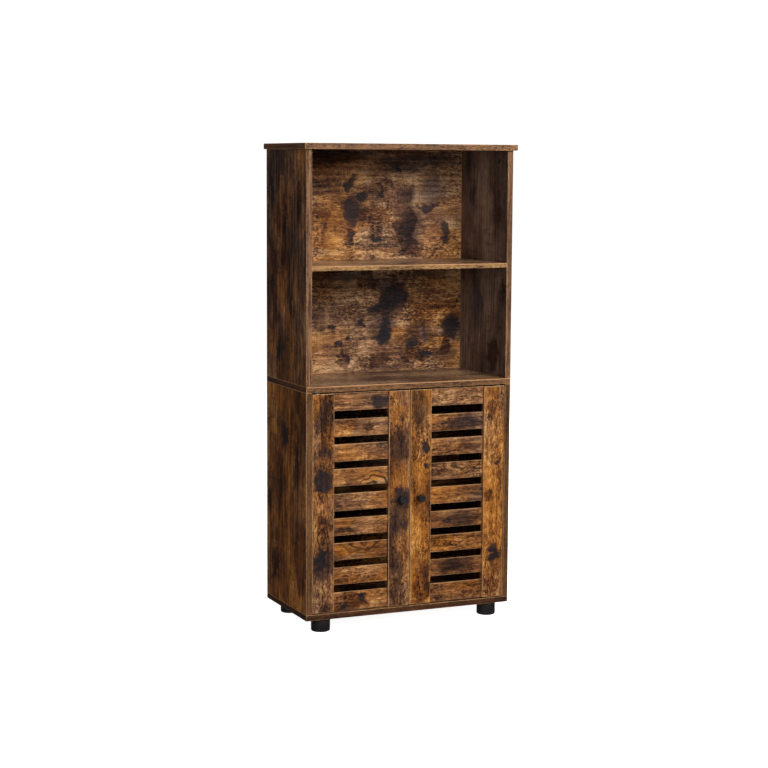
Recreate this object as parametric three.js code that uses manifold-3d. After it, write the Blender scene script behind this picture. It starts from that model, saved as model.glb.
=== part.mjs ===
// A tall free-standing cupboard: two open bays over a cupboard that a pair of louvred doors closes.
// Millimetres, +Z up, front towards -Y, origin on the floor under the middle of the whole object.
import * as THREE from 'three';
import { mergeVertices } from 'three/addons/utils/BufferGeometryUtils.js';
import Module from 'manifold-3d';

const wasm = await Module();
wasm.setup();

// Carcass boards
const boardThickness = 15;
const carcassWidth = 584;
const carcassDepth = 290;
const lowerSideHeight = 578;
const upperSideHeight = 602;
const topSideOverhang = 8;
const topFrontOverhang = 10;
const backThickness = 15;

// Adjustable shelf inside the cupboard and the pins that carry it
const adjustableShelfThickness = 15;
const adjustableShelfHeight = 272;
const adjustableShelfSetback = 38;
const adjustableShelfSideGap = 1;
const adjustableShelfBackGap = 2;
const shelfPinDiameter = 5;
const shelfPinInBoard = 8;
const shelfPinUnderShelf = 9;
const shelfPinFromShelfEdge = 40;

// Feet and their screws
const footDiameter = 50;
const footHeight = 34;
const footBottomRound = 4;
const footTopRound = 1;
const footWeb = 8;
const footRecessDiameter = 14;
const footFromSide = 51;
const footFromFront = 28;
const footFromBack = 39;
const footScrew = { diameter: 4.5, length: 20, headDiameter: 9, headHeight: 3 };

// Cam fittings: a cam let into one board's face draws in a bolt from the board that it meets
const camDiameter = 15;
const camDepth = 12.5;
const camFromJoint = 28;
const camFromEdge = 52;
const camSlotLength = 9;
const camSlotWidth = 1.5;
const camSlotDepth = 2;
const boltShankDiameter = 4;
const boltThreadDiameter = 6;
const boltThreadLength = 11;
const boltBoreDiameter = 8;

// Dowels and the long screws whose heads are sunk in the undersides
const dowelDiameter = 8;
const dowelLength = 30;
const dowelInFace = 11;
const dowelFromCam = 32;
const backDowelFromEnd = 90;
const longScrewDiameter = 6;
const longScrewLength = 48;
const longScrewHeadDiameter = 10;
const longScrewHeadLength = 4;
const longScrewFromEdge = 24;
const backScrewFromMiddle = 120;

// Doors
const doorThickness = 15;
const doorSideGap = 2;
const doorMeetingGap = 2;
const doorTopGap = 4;
const doorBottomGap = 3;
const stileWidth = 60;
const topRailHeight = 48.5;
const bottomRailHeight = 49.5;
const slatCount = 7;
const slatHeight = 47.5;
const firstGap = 20;
const slatThickness = 8;
const slatFromBack = 0;
const tenonLength = 12;
const tenonThickness = 4;
const tenonShoulder = 6;

// Door pivots: a collared pin in each end of the hinge stile turns in a flanged bush
const pivotFromEdge = 16;
const pivotPinDiameter = 6;
const pivotPinInStile = 20;
const pivotPinInBush = 9;
const pivotCollarDiameter = 12;
const pivotCollarHeight = 1.5;
const bushDiameter = 10;
const bushDepth = 10;
const bushFlangeDiameter = 14;
const bushFlangeHeight = 1.2;

// Knobs
const knobDiameter = 20;
const knobLength = 21;
const knobHeadLength = 12;
const knobStemDiameter = 12;
const knobEdgeRound = 2;
const knobFromLockEdge = 26;
const knobScrew = { diameter: 4, length: 25, headDiameter: 8, headHeight: 2.5 };

// Magnetic catch under the deck, and a strike plate on each door
const catchWidth = 60;
const catchDepth = 22;
const catchHeight = 16;
const catchEarWidth = 12;
const catchEarHeight = 3;
const catchScrew = { diameter: 3.5, length: 12, headDiameter: 7, headHeight: 2 };
const magnetWidth = 18;
const magnetDepth = 12;
const magnetHeight = 8;
const strikeWidth = 26;
const strikeThickness = 1.5;
const strikeFromTop = 1;
const strikeScrewUnderCatch = 6;
const strikeUnderScrew = 6;
const strikeScrew = { diameter: 3, length: 10, headDiameter: 6, headHeight: 1 };

// Clearances, and how far a cutter runs past the face that it opens
const fitGap = 0.3;
const pivotClearance = 0.15;
const overrun = 1;

// Sides of the turned pieces
const fastenerSides = 8;
const camSides = 12;
const pivotSides = 16;
const knobSides = 20;
const footSides = 24;
const roundSteps = 3;

// Finishes
const brownBoard = { color: 0x7a5232, roughness: 0.62, metalness: 0 };
const brownFront = { color: 0x8f5f34, roughness: 0.6, metalness: 0 };
const blackPlastic = { color: 0x1d1d1f, roughness: 0.55, metalness: 0 };
const blackNylon = { color: 0x26231f, roughness: 0.5, metalness: 0 };
const darkZinc = { color: 0x4d4740, roughness: 0.45, metalness: 0.9 };
const steel = { color: 0xa9abad, roughness: 0.35, metalness: 1 };
const ferrite = { color: 0x2b2b2e, roughness: 0.7, metalness: 0.2 };

// Levels and places that follow from the sizes above
const backY = (carcassDepth + knobLength) / 2;
const frontY = backY - carcassDepth;
const middleY = (frontY + backY) / 2;
const bottomLevel = footHeight;
const lowerLevel = bottomLevel + boardThickness;
const deckLevel = lowerLevel + lowerSideHeight;
const upperLevel = deckLevel + boardThickness;
const topLevel = upperLevel + upperSideHeight;
const sideMiddleX = (carcassWidth - boardThickness) / 2;
const innerX = carcassWidth / 2 - boardThickness;
const backFaceY = backY - backThickness;
const backMiddleY = backY - backThickness / 2;
const shelfDepth = backFaceY - frontY;
const fixedShelfMiddle = upperLevel + upperSideHeight / 2;
const adjustableShelfFront = frontY + adjustableShelfSetback;
const adjustableShelfBack = backFaceY - adjustableShelfBackGap;
const adjustableShelfUnderside = lowerLevel + adjustableShelfHeight;
const camDepths = [frontY + camFromEdge, backY - camFromEdge];
const dowelDepths = [frontY + camFromEdge + dowelFromCam, backY - camFromEdge - dowelFromCam];
const bothSides = [-1, 1];

const vector = (x, y, z) => new THREE.Vector3(x, y, z);
const up = vector(0, 0, 1);
const down = vector(0, 0, -1);
const forward = vector(0, -1, 0);
const outward = (side) => vector(side, 0, 0);
const inward = (side) => vector(-side, 0, 0);

// A closed geometry as a solid that can be joined and cut.
function solid(geometry) {
  geometry.deleteAttribute('normal');
  geometry.deleteAttribute('uv');
  const welded = mergeVertices(geometry);
  const corners = welded.index.array;
  const triangles = [];
  for (let i = 0; i < corners.length; i += 3) {
    const [a, b, c] = corners.subarray(i, i + 3);
    if (a !== b && b !== c && c !== a) triangles.push(a, b, c);
  }
  return new wasm.Manifold(new wasm.Mesh({
    numProp: 3,
    vertProperties: Float32Array.from(welded.attributes.position.array),
    triVerts: Uint32Array.from(triangles),
  }));
}

// Turns a piece's own axes to the assembly's: Y runs along it, Z out of the face that holds it.
function seat(origin, along, out) {
  const across = new THREE.Vector3().crossVectors(along, out);
  return new THREE.Matrix4().makeBasis(across, along, out).setPosition(origin);
}

// Any direction square to the axis will do for a piece that is round.
function roundSeat(origin, along) {
  return seat(origin, along, along.z === 0 ? up : forward);
}

function block(size, centre) {
  return solid(new THREE.BoxGeometry(...size).translate(...centre));
}

// A turned solid: its profile is a list of [radius, distance along the axis], from axis to axis.
function turned(profile, place, sides) {
  const points = profile.map(([radius, along]) => new THREE.Vector2(radius, along));
  return solid(new THREE.LatheGeometry(points, sides).applyMatrix4(place));
}

// Cylinders of the given [radius, start, end] end to end, each wider or narrower than the last.
function stepped(steps, place, sides) {
  const profile = steps.flatMap(([radius, start, end]) => [[radius, start], [radius, end]]);
  return turned([[0, steps[0][1]], ...profile, [0, steps[steps.length - 1][2]]], place, sides);
}

// A quarter round from one profile point to the next, about the given middle.
function quarterRound(middleRadius, middleAlong, radius, startAngle) {
  return Array.from({ length: roundSteps + 1 }, (_, step) => {
    const angle = startAngle + (step / roundSteps) * Math.PI / 2;
    return [middleRadius + radius * Math.cos(angle), middleAlong + radius * Math.sin(angle)];
  });
}

function joined(solids) {
  return solids.reduce((whole, next) => whole.add(next));
}

function without(body, cutters) {
  return cutters.reduce((rest, cutter) => rest.subtract(cutter), body);
}

// One named piece of the scene, drawn about its own place.
function piece(name, body, finish, place = [0, 0, 0]) {
  const { vertProperties, triVerts } = body.getMesh();
  const geometry = new THREE.BufferGeometry();
  geometry.setAttribute('position', new THREE.BufferAttribute(Float32Array.from(vertProperties), 3));
  geometry.setIndex(Array.from(triVerts));
  const mesh = new THREE.Mesh(geometry.toNonIndexed(), new THREE.MeshStandardMaterial(finish));
  mesh.geometry.computeVertexNormals();
  mesh.name = name;
  mesh.position.set(...place);
  return mesh;
}

// The carcass boards, each with its size, its middle, the bores for fasteners that come out of its
// neighbours and the studs: the fasteners that stand in its own edges
const boards = {};

function addBoard(name, size, centre) {
  boards[name] = { size, centre, studs: [], cutters: [] };
}

function bore(name, ...cutters) {
  boards[name].cutters.push(...cutters);
}

function stud(name, ...solids) {
  boards[name].studs.push(...solids);
}

const sideSize = (height) => [boardThickness, carcassDepth, height];
const sideCentre = (side, level, height) => [side * sideMiddleX, middleY, level + height / 2];
const sideNames = { [-1]: 'left', [1]: 'right' };

addBoard('top_panel',
  [carcassWidth + 2 * topSideOverhang, carcassDepth + topFrontOverhang, boardThickness],
  [0, middleY - topFrontOverhang / 2, topLevel + boardThickness / 2]);
addBoard('deck_panel', [carcassWidth, carcassDepth, boardThickness],
  [0, middleY, deckLevel + boardThickness / 2]);
addBoard('bottom_panel', [carcassWidth, carcassDepth, boardThickness],
  [0, middleY, bottomLevel + boardThickness / 2]);
for (const side of bothSides) {
  addBoard(`upper_${sideNames[side]}_side`, sideSize(upperSideHeight),
    sideCentre(side, upperLevel, upperSideHeight));
  addBoard(`lower_${sideNames[side]}_side`, sideSize(lowerSideHeight),
    sideCentre(side, lowerLevel, lowerSideHeight));
}
addBoard('upper_back_panel', [2 * innerX, backThickness, upperSideHeight],
  [0, backMiddleY, upperLevel + upperSideHeight / 2]);
addBoard('lower_back_panel', [2 * innerX, backThickness, lowerSideHeight],
  [0, backMiddleY, lowerLevel + lowerSideHeight / 2]);
addBoard('fixed_shelf', [2 * innerX, shelfDepth, boardThickness],
  [0, frontY + shelfDepth / 2, fixedShelfMiddle]);
addBoard('adjustable_shelf',
  [2 * (innerX - adjustableShelfSideGap), adjustableShelfBack - adjustableShelfFront,
    adjustableShelfThickness],
  [0, (adjustableShelfFront + adjustableShelfBack) / 2,
    adjustableShelfUnderside + adjustableShelfThickness / 2]);

// Cam fittings that are pieces of their own, by name: those that show in the upper bay
const camFittings = {};

function camDrum(radius, depth, above, place) {
  const drum = new THREE.CylinderGeometry(radius, radius, depth + above, camSides);
  return solid(drum.rotateX(Math.PI / 2).translate(0, 0, (above - depth) / 2).applyMatrix4(place));
}

// place: origin on the edge board's face over the cam's middle, Y towards the other board.
// The bolt is drawn home, so that cam and bolt are one solid.
function camJoint(edgeBoard, faceBoard, place, name = null) {
  const threadEnd = camFromJoint + boltThreadLength;
  const boltPlace = place.clone().multiply(
    new THREE.Matrix4().makeTranslation(0, 0, -boardThickness / 2));
  const slots = [[camSlotLength, camSlotWidth], [camSlotWidth, camSlotLength]]
    .map(([wide, long]) => new THREE.BoxGeometry(wide, long, 2 * camSlotDepth).applyMatrix4(place))
    .map(solid);
  const bolt = stepped([
    [boltShankDiameter / 2, 0, camFromJoint],
    [boltThreadDiameter / 2, camFromJoint, threadEnd],
  ], boltPlace, fastenerSides);
  bore(faceBoard, stepped([
    [boltThreadDiameter / 2 + fitGap, camFromJoint - overrun, threadEnd + fitGap],
  ], boltPlace, fastenerSides));
  if (name === null) {
    stud(edgeBoard, bolt);
    bore(edgeBoard, ...slots);
    return;
  }
  camFittings[name] = without(joined([camDrum(camDiameter / 2, camDepth, 0, place), bolt]), slots);
  bore(edgeBoard, camDrum(camDiameter / 2 + fitGap, camDepth + fitGap, overrun, place),
    stepped([[boltBoreDiameter / 2, 0, camFromJoint + overrun]], boltPlace, fastenerSides));
}

// place: origin where the two boards meet, Y into the board that is bored in its face.
function dowelJoint(faceBoard, edgeBoard, place) {
  const start = dowelInFace - dowelLength;
  stud(edgeBoard, stepped([[dowelDiameter / 2, start, dowelInFace]], place, fastenerSides));
  bore(faceBoard, stepped([[dowelDiameter / 2 + fitGap, -overrun, dowelInFace + fitGap]],
    place, fastenerSides));
}

// place: origin on the outer face that the head is sunk in, Y along the screw.
function longScrewJoint(faceBoard, edgeBoard, place) {
  const outline = (gap, headStart) => [
    [0, headStart],
    [longScrewHeadDiameter / 2 + gap, headStart],
    [longScrewHeadDiameter / 2 + gap, fitGap],
    [longScrewDiameter / 2 + gap, longScrewHeadLength],
    [longScrewDiameter / 2 + gap, longScrewLength + gap],
    [0, longScrewLength + gap],
  ];
  stud(edgeBoard, turned(outline(0, 0), place, fastenerSides));
  bore(faceBoard, turned(outline(fitGap, -overrun), place, fastenerSides));
}

// Top panel and deck on the heads of the side panels
for (const side of bothSides) {
  const joints = [
    [`upper_${sideNames[side]}_side`, 'top_panel', topLevel, true],
    [`lower_${sideNames[side]}_side`, 'deck_panel', deckLevel, false],
  ];
  for (const [sideBoard, capBoard, level, shows] of joints) {
    camDepths.forEach((y, row) => {
      const name = shows ? `${['front', 'rear'][row]}_${sideNames[side]}_cam_fitting` : null;
      const place = seat(vector(side * innerX, y, level - camFromJoint), up, inward(side));
      camJoint(sideBoard, capBoard, place, name);
    });
    for (const y of dowelDepths) {
      dowelJoint(capBoard, sideBoard, roundSeat(vector(side * sideMiddleX, y, level), up));
    }
  }
}

// Side panels standing on the bottom panel and on the deck, screwed from below
for (const side of bothSides) {
  const joints = [
    [`lower_${sideNames[side]}_side`, 'bottom_panel', lowerLevel],
    [`upper_${sideNames[side]}_side`, 'deck_panel', upperLevel],
  ];
  for (const [sideBoard, footBoard, level] of joints) {
    for (const y of [frontY + longScrewFromEdge, backY - longScrewFromEdge]) {
      const head = vector(side * sideMiddleX, y, level - boardThickness);
      longScrewJoint(footBoard, sideBoard, roundSeat(head, up));
    }
    dowelJoint(footBoard, sideBoard, roundSeat(vector(side * sideMiddleX, middleY, level), down));
  }
}

// Back panels: screwed from below, dowelled into the side panels
const backJoints = [
  ['lower', 'bottom_panel', lowerLevel, lowerSideHeight],
  ['upper', 'deck_panel', upperLevel, upperSideHeight],
];
for (const [storey, footBoard, level, height] of backJoints) {
  for (const side of bothSides) {
    const head = vector(side * backScrewFromMiddle, backMiddleY, level - boardThickness);
    longScrewJoint(footBoard, `${storey}_back_panel`, roundSeat(head, up));
    for (const z of [level + backDowelFromEnd, level + height - backDowelFromEnd]) {
      dowelJoint(`${storey}_${sideNames[side]}_side`, `${storey}_back_panel`,
        roundSeat(vector(side * innerX, backMiddleY, z), outward(side)));
    }
  }
}

// Fixed shelf: cams let into its underside, bolts and dowels in the side panels
for (const side of bothSides) {
  const sideBoard = `upper_${sideNames[side]}_side`;
  for (const y of [frontY + camFromEdge, backFaceY - camFromEdge]) {
    const underside = vector(side * (innerX - camFromJoint), y, fixedShelfMiddle - boardThickness / 2);
    camJoint('fixed_shelf', sideBoard, seat(underside, outward(side), down));
  }
  const middle = vector(side * innerX, frontY + shelfDepth / 2, fixedShelfMiddle);
  dowelJoint(sideBoard, 'fixed_shelf', roundSeat(middle, outward(side)));
}

// Adjustable shelf on four pins
const shelfPinLevel = adjustableShelfUnderside - shelfPinDiameter / 2;
const shelfPinDepths = [
  adjustableShelfFront + shelfPinFromShelfEdge, adjustableShelfBack - shelfPinFromShelfEdge];
const shelfPins = {};
for (const side of bothSides) {
  shelfPinDepths.forEach((y, row) => {
    const place = roundSeat(vector(side * innerX, y, shelfPinLevel), outward(side));
    const pin = [[shelfPinDiameter / 2, -shelfPinUnderShelf, shelfPinInBoard]];
    const hole = [[shelfPinDiameter / 2 + fitGap, -overrun, shelfPinInBoard + fitGap]];
    shelfPins[`${['front', 'rear'][row]}_${sideNames[side]}_shelf_pin`] = stepped(
      pin, place, fastenerSides);
    bore(`lower_${sideNames[side]}_side`, stepped(hole, place, fastenerSides));
  });
}

// A screw with a flat-backed head: origin under the head, Y along the shank.
function screwSolid(size, place) {
  return stepped([
    [size.headDiameter / 2, -size.headHeight, 0],
    [size.diameter / 2, 0, size.length],
  ], place, fastenerSides);
}

function screwHole(size, place) {
  return stepped([[size.diameter / 2 + fitGap, -overrun, size.length + fitGap]], place, fastenerSides);
}

// Feet: rounded plastic cylinders, each held by a screw whose head is let into its underside
const footPlaces = [];
for (const side of bothSides) {
  const x = side * (carcassWidth / 2 - footFromSide);
  footPlaces.push([`front_${sideNames[side]}_foot`, x, frontY + footFromFront]);
  footPlaces.push([`rear_${sideNames[side]}_foot`, x, backY - footFromBack]);
}

function footSolid() {
  const radius = footDiameter / 2;
  const recess = footRecessDiameter / 2;
  const shank = footScrew.diameter / 2 - fitGap;
  const webLevel = footHeight - footWeb;
  const profile = [
    [recess, 0],
    ...quarterRound(radius - footBottomRound, footBottomRound, footBottomRound, -Math.PI / 2),
    ...quarterRound(radius - footTopRound, footHeight - footTopRound, footTopRound, 0),
    [shank, footHeight],
    [shank, webLevel],
    [recess, webLevel],
    [recess, 0],
  ];
  return joined([
    turned(profile, roundSeat(vector(0, 0, 0), up), footSides),
    screwSolid(footScrew, roundSeat(vector(0, 0, webLevel), up)),
  ]);
}

for (const [, x, y] of footPlaces) {
  bore('bottom_panel', screwHole(footScrew, roundSeat(vector(x, y, footHeight - footWeb), up)));
}

// Door pivots
const doorLevel = lowerLevel + doorBottomGap;
const doorHeight = lowerSideHeight - doorBottomGap - doorTopGap;
const doorWidth = (2 * innerX - 2 * doorSideGap - doorMeetingGap) / 2;
const doorMiddleY = frontY + doorThickness / 2;
const pivotX = innerX - doorSideGap - pivotFromEdge;
const bushes = {};

function bushSolid(place) {
  const running = pivotPinDiameter / 2 + pivotClearance;
  return turned([
    [running, -bushFlangeHeight],
    [bushFlangeDiameter / 2, -bushFlangeHeight],
    [bushFlangeDiameter / 2, 0],
    [bushDiameter / 2, 0],
    [bushDiameter / 2, bushDepth],
    [running, bushDepth],
    [running, -bushFlangeHeight],
  ], place, pivotSides);
}

for (const side of bothSides) {
  const ends = [['lower', 'bottom_panel', lowerLevel, down], ['upper', 'deck_panel', deckLevel, up]];
  for (const [end, board, level, into] of ends) {
    const place = roundSeat(vector(side * pivotX, doorMiddleY, level), into);
    bushes[`${end}_${sideNames[side]}_pivot_bush`] = bushSolid(place);
    bore(board, stepped([[bushDiameter / 2 + fitGap, -overrun, bushDepth + fitGap]], place, pivotSides));
  }
}

// Magnetic catch: an eared housing under the deck with a magnet facing each door
const catchFrontY = frontY + doorThickness + strikeThickness + fitGap;
const strikeFromMiddle = doorMeetingGap / 2 + strikeWidth / 2 + fitGap;
const catchMiddleY = catchFrontY + catchDepth / 2;
const catchScrewPlaces = bothSides.map((side) => roundSeat(
  vector(side * (catchWidth + catchEarWidth) / 2, catchMiddleY, deckLevel - catchEarHeight), up));
const magnetLevel = deckLevel - catchHeight / 2;

function magnetBlock(side, gap) {
  const front = catchFrontY - 2 * gap;
  return block([magnetWidth + 2 * gap, magnetDepth + 3 * gap, magnetHeight + 2 * gap],
    [side * strikeFromMiddle, front + (magnetDepth + 3 * gap) / 2, magnetLevel]);
}

const catchHousing = joined([
  block([catchWidth, catchDepth, catchHeight], [0, catchMiddleY, deckLevel - catchHeight / 2]),
  block([catchWidth + 2 * catchEarWidth, catchDepth, catchEarHeight],
    [0, catchMiddleY, deckLevel - catchEarHeight / 2]),
]);
const catchBody = joined([
  without(catchHousing, bothSides.map((side) => magnetBlock(side, fitGap))),
  ...catchScrewPlaces.map((place) => screwSolid(catchScrew, place)),
]);
catchScrewPlaces.forEach((place) => bore('deck_panel', screwHole(catchScrew, place)));

// Carcass scene
const cupboard = new THREE.Group();
for (const [name, { size, centre, studs, cutters }] of Object.entries(boards)) {
  const whole = without(joined([block(size, centre), ...studs]), cutters);
  cupboard.add(piece(name, whole.translate(centre.map((value) => -value)), brownBoard, centre));
}
for (const [name, x, y] of footPlaces) cupboard.add(piece(name, footSolid(), blackPlastic, [x, y, 0]));
for (const [name, body] of Object.entries(camFittings)) cupboard.add(piece(name, body, darkZinc));
for (const [name, body] of Object.entries(shelfPins)) cupboard.add(piece(name, body, steel));
for (const [name, body] of Object.entries(bushes)) cupboard.add(piece(name, body, blackNylon));
cupboard.add(piece('catch_housing', catchBody, blackPlastic));
for (const side of bothSides) {
  cupboard.add(piece(`${sideNames[side]}_catch_magnet`, magnetBlock(side, 0), ferrite));
}

// Rows of the door from the top down: rails and slats share their joints with the stiles
const slatGap = (doorHeight - topRailHeight - firstGap - slatCount * slatHeight - bottomRailHeight)
  / slatCount;

function doorRows() {
  const rows = [{ name: 'top_rail', top: doorHeight, height: topRailHeight }];
  for (let number = 0; number < slatCount; number += 1) {
    const top = doorHeight - topRailHeight - firstGap - number * (slatHeight + slatGap);
    rows.push({ name: `slat_${number + 1}`, top, height: slatHeight });
  }
  rows.push({ name: 'bottom_rail', top: bottomRailHeight, height: bottomRailHeight });
  return rows.map((row) => ({ ...row, middle: row.top - row.height / 2 }));
}

const slatMiddleY = doorThickness / 2 - slatFromBack - slatThickness / 2;
const openingWidth = doorWidth - 2 * stileWidth;

// A rail or slat: its flat blade stands between the stiles, a stub tenon enters each of them.
function crossPiece(height) {
  return joined([
    block([openingWidth, slatThickness, height], [0, 0, 0]),
    block([openingWidth + 2 * tenonLength, tenonThickness, height - 2 * tenonShoulder], [0, 0, 0]),
  ]);
}

// The slot for one tenon in a stile that is drawn about its own middle; edge is +1 or -1 in X.
function mortise(row, edge) {
  const long = tenonLength + fitGap + overrun;
  return block(
    [long, tenonThickness + 2 * fitGap, row.height - 2 * tenonShoulder + 2 * fitGap],
    [edge * (stileWidth / 2 + overrun - long / 2), slatMiddleY, row.middle - doorHeight / 2]);
}

// The door is drawn about its pivot axis at the foot of the stiles; side is +1 for the right door.
function door(side) {
  const name = `${sideNames[side]}_door`;
  const group = new THREE.Group();
  group.position.set(side * pivotX, doorMiddleY, doorLevel);
  const acrossX = (distance) => -side * (distance - pivotFromEdge);
  const hingeX = acrossX(stileWidth / 2);
  const lockX = acrossX(doorWidth - stileWidth / 2);
  const rows = doorRows();
  const stile = [stileWidth, doorThickness, doorHeight];
  const stileBody = (edge) => without(block(stile, [0, 0, 0]), rows.map((row) => mortise(row, edge)));

  const pinEnds = [['lower', 0, up], ['upper', doorHeight, down]];
  const pinShape = (place) => stepped([
    [pivotPinDiameter / 2, -doorBottomGap - pivotPinInBush, -pivotCollarHeight],
    [pivotCollarDiameter / 2, -pivotCollarHeight, 0],
    [pivotPinDiameter / 2, 0, pivotPinInStile],
  ], place, pivotSides);
  const pinBores = pinEnds.map(([, level, into]) => stepped(
    [[pivotPinDiameter / 2 + fitGap, -overrun, pivotPinInStile + fitGap]],
    roundSeat(vector(-hingeX, 0, level - doorHeight / 2), into), pivotSides));

  const knobX = acrossX(doorWidth - knobFromLockEdge);
  const knobScrewPlace = (x) => roundSeat(vector(x, doorThickness / 2, 0), forward);
  const strikeX = acrossX(doorWidth + doorMeetingGap / 2 - strikeFromMiddle);
  const strikeScrewLevel = doorHeight + doorTopGap - catchHeight - strikeScrewUnderCatch;
  const strikeTop = doorHeight - strikeFromTop - strikeScrewLevel;
  const strikeHeight = strikeTop + strikeUnderScrew;
  const strikeScrewPlace = (x, z) => roundSeat(
    vector(x, doorThickness / 2 + strikeThickness, z), forward);

  group.add(
    piece(`${name}_hinge_stile`, without(stileBody(-side), pinBores), brownFront,
      [hingeX, 0, doorHeight / 2]),
    piece(`${name}_lock_stile`, without(stileBody(side), [
      screwHole(knobScrew, knobScrewPlace(knobX - lockX)),
      screwHole(strikeScrew, strikeScrewPlace(strikeX - lockX, strikeScrewLevel - doorHeight / 2)),
    ]), brownFront, [lockX, 0, doorHeight / 2]),
  );
  for (const row of rows) {
    group.add(piece(`${name}_${row.name}`, crossPiece(row.height), brownFront,
      [acrossX(doorWidth / 2), slatMiddleY, row.middle]));
  }
  for (const [end, level, into] of pinEnds) {
    const pin = pinShape(roundSeat(vector(0, 0, level), into));
    group.add(piece(`${name}_${end}_pivot_pin`, pin, steel));
  }
  group.add(
    piece(`${name}_knob`, joined([
      knobSolid(),
      screwSolid(knobScrew, roundSeat(vector(0, doorThickness, 0), forward)),
    ]), blackPlastic, [knobX, -doorThickness / 2, doorHeight / 2]),
    piece(`${name}_strike_plate`, joined([
      block([strikeWidth, strikeThickness, strikeHeight],
        [0, strikeThickness / 2, (strikeTop - strikeUnderScrew) / 2]),
      screwSolid(strikeScrew, roundSeat(vector(0, strikeThickness, 0), forward)),
    ]), steel, [strikeX, doorThickness / 2, strikeScrewLevel]),
  );
  return group;
}

// A knob with a narrow stem and a flat head whose edges are rounded; its foot is on the door's face.
function knobSolid() {
  const headStart = knobLength - knobHeadLength;
  const edge = knobDiameter / 2 - knobEdgeRound;
  return turned([
    [0, 0],
    [knobStemDiameter / 2, 0],
    [knobStemDiameter / 2, headStart],
    ...quarterRound(edge, headStart + knobEdgeRound, knobEdgeRound, -Math.PI / 2),
    ...quarterRound(edge, knobLength - knobEdgeRound, knobEdgeRound, 0),
    [0, knobLength],
  ], roundSeat(vector(0, 0, 0), forward), knobSides);
}

for (const side of bothSides) cupboard.add(door(side));

export default cupboard;
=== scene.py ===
"""A tall cupboard in rustic brown board: two open bays over a pair of louvred doors.

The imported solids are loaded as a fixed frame. Every board, turning and fitting is built here again
over its solid, in metres and in the same place, and dressed with a finish made of shader nodes.
"""

import logging
import math
from collections.abc import Callable, Iterable, Sequence
from dataclasses import dataclass, field, replace
from enum import Enum

import bmesh
import bpy
from mathutils import Matrix, Vector

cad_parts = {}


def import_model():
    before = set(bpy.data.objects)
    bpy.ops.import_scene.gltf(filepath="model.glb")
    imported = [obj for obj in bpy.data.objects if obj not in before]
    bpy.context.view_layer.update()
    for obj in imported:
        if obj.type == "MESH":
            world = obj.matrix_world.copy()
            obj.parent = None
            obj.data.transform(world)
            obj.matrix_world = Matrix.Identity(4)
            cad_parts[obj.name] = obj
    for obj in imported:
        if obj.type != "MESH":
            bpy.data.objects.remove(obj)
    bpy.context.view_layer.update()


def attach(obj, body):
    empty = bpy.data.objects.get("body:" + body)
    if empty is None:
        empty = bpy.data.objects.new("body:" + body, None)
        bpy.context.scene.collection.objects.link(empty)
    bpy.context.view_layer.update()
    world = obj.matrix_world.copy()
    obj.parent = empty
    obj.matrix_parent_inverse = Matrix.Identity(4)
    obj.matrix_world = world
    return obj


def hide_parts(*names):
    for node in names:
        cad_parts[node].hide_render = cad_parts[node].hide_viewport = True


LOG = logging.getLogger("cupboard")

MM = 0.001
# How near two places count as touching, and how near two corners are joined to one
TOUCH = 0.02 * MM
WELD = 0.002 * MM
# How much of a face's direction must lie along an axis for it to count as square, or as flat
SQUARE = 0.999
FLAT = 0.99

Pair = tuple[float, float]
Triple = tuple[float, float, float]
Colour = tuple[float, float, float, float]
Socket = bpy.types.NodeSocket

WHITE: Colour = (1.0, 1.0, 1.0, 1.0)


class Axis(Enum):
    """The three directions of the room."""

    X = 0
    Y = 1
    Z = 2

    @property
    def vector(self) -> Vector:
        """The unit vector of this direction."""
        return Vector([float(index == self.value) for index in range(3)])


class Side(Enum):
    """Left or right as seen from the front; the value is the sign of X."""

    LEFT = -1
    RIGHT = 1

    @property
    def word(self) -> str:
        """The side's name as the frame's nodes spell it."""
        return self.name.lower()


def peak(values: Iterable[float]) -> int:
    """The index of the largest value."""
    listed = list(values)
    return listed.index(max(listed))


def paint(code: str) -> Colour:
    """Turns a six-digit colour code into linear light.

    Args:
        code: Red, green and blue as two hexadecimal digits each.

    Returns:
        The colour as linear red, green, blue and full cover.
    """
    shares = [int(code[start : start + 2], 16) / 255 for start in (0, 2, 4)]
    linear = [s / 12.92 if s <= 0.04045 else ((s + 0.055) / 1.055) ** 2.4 for s in shares]
    return (linear[0], linear[1], linear[2], 1.0)


# Shader graphs


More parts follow.
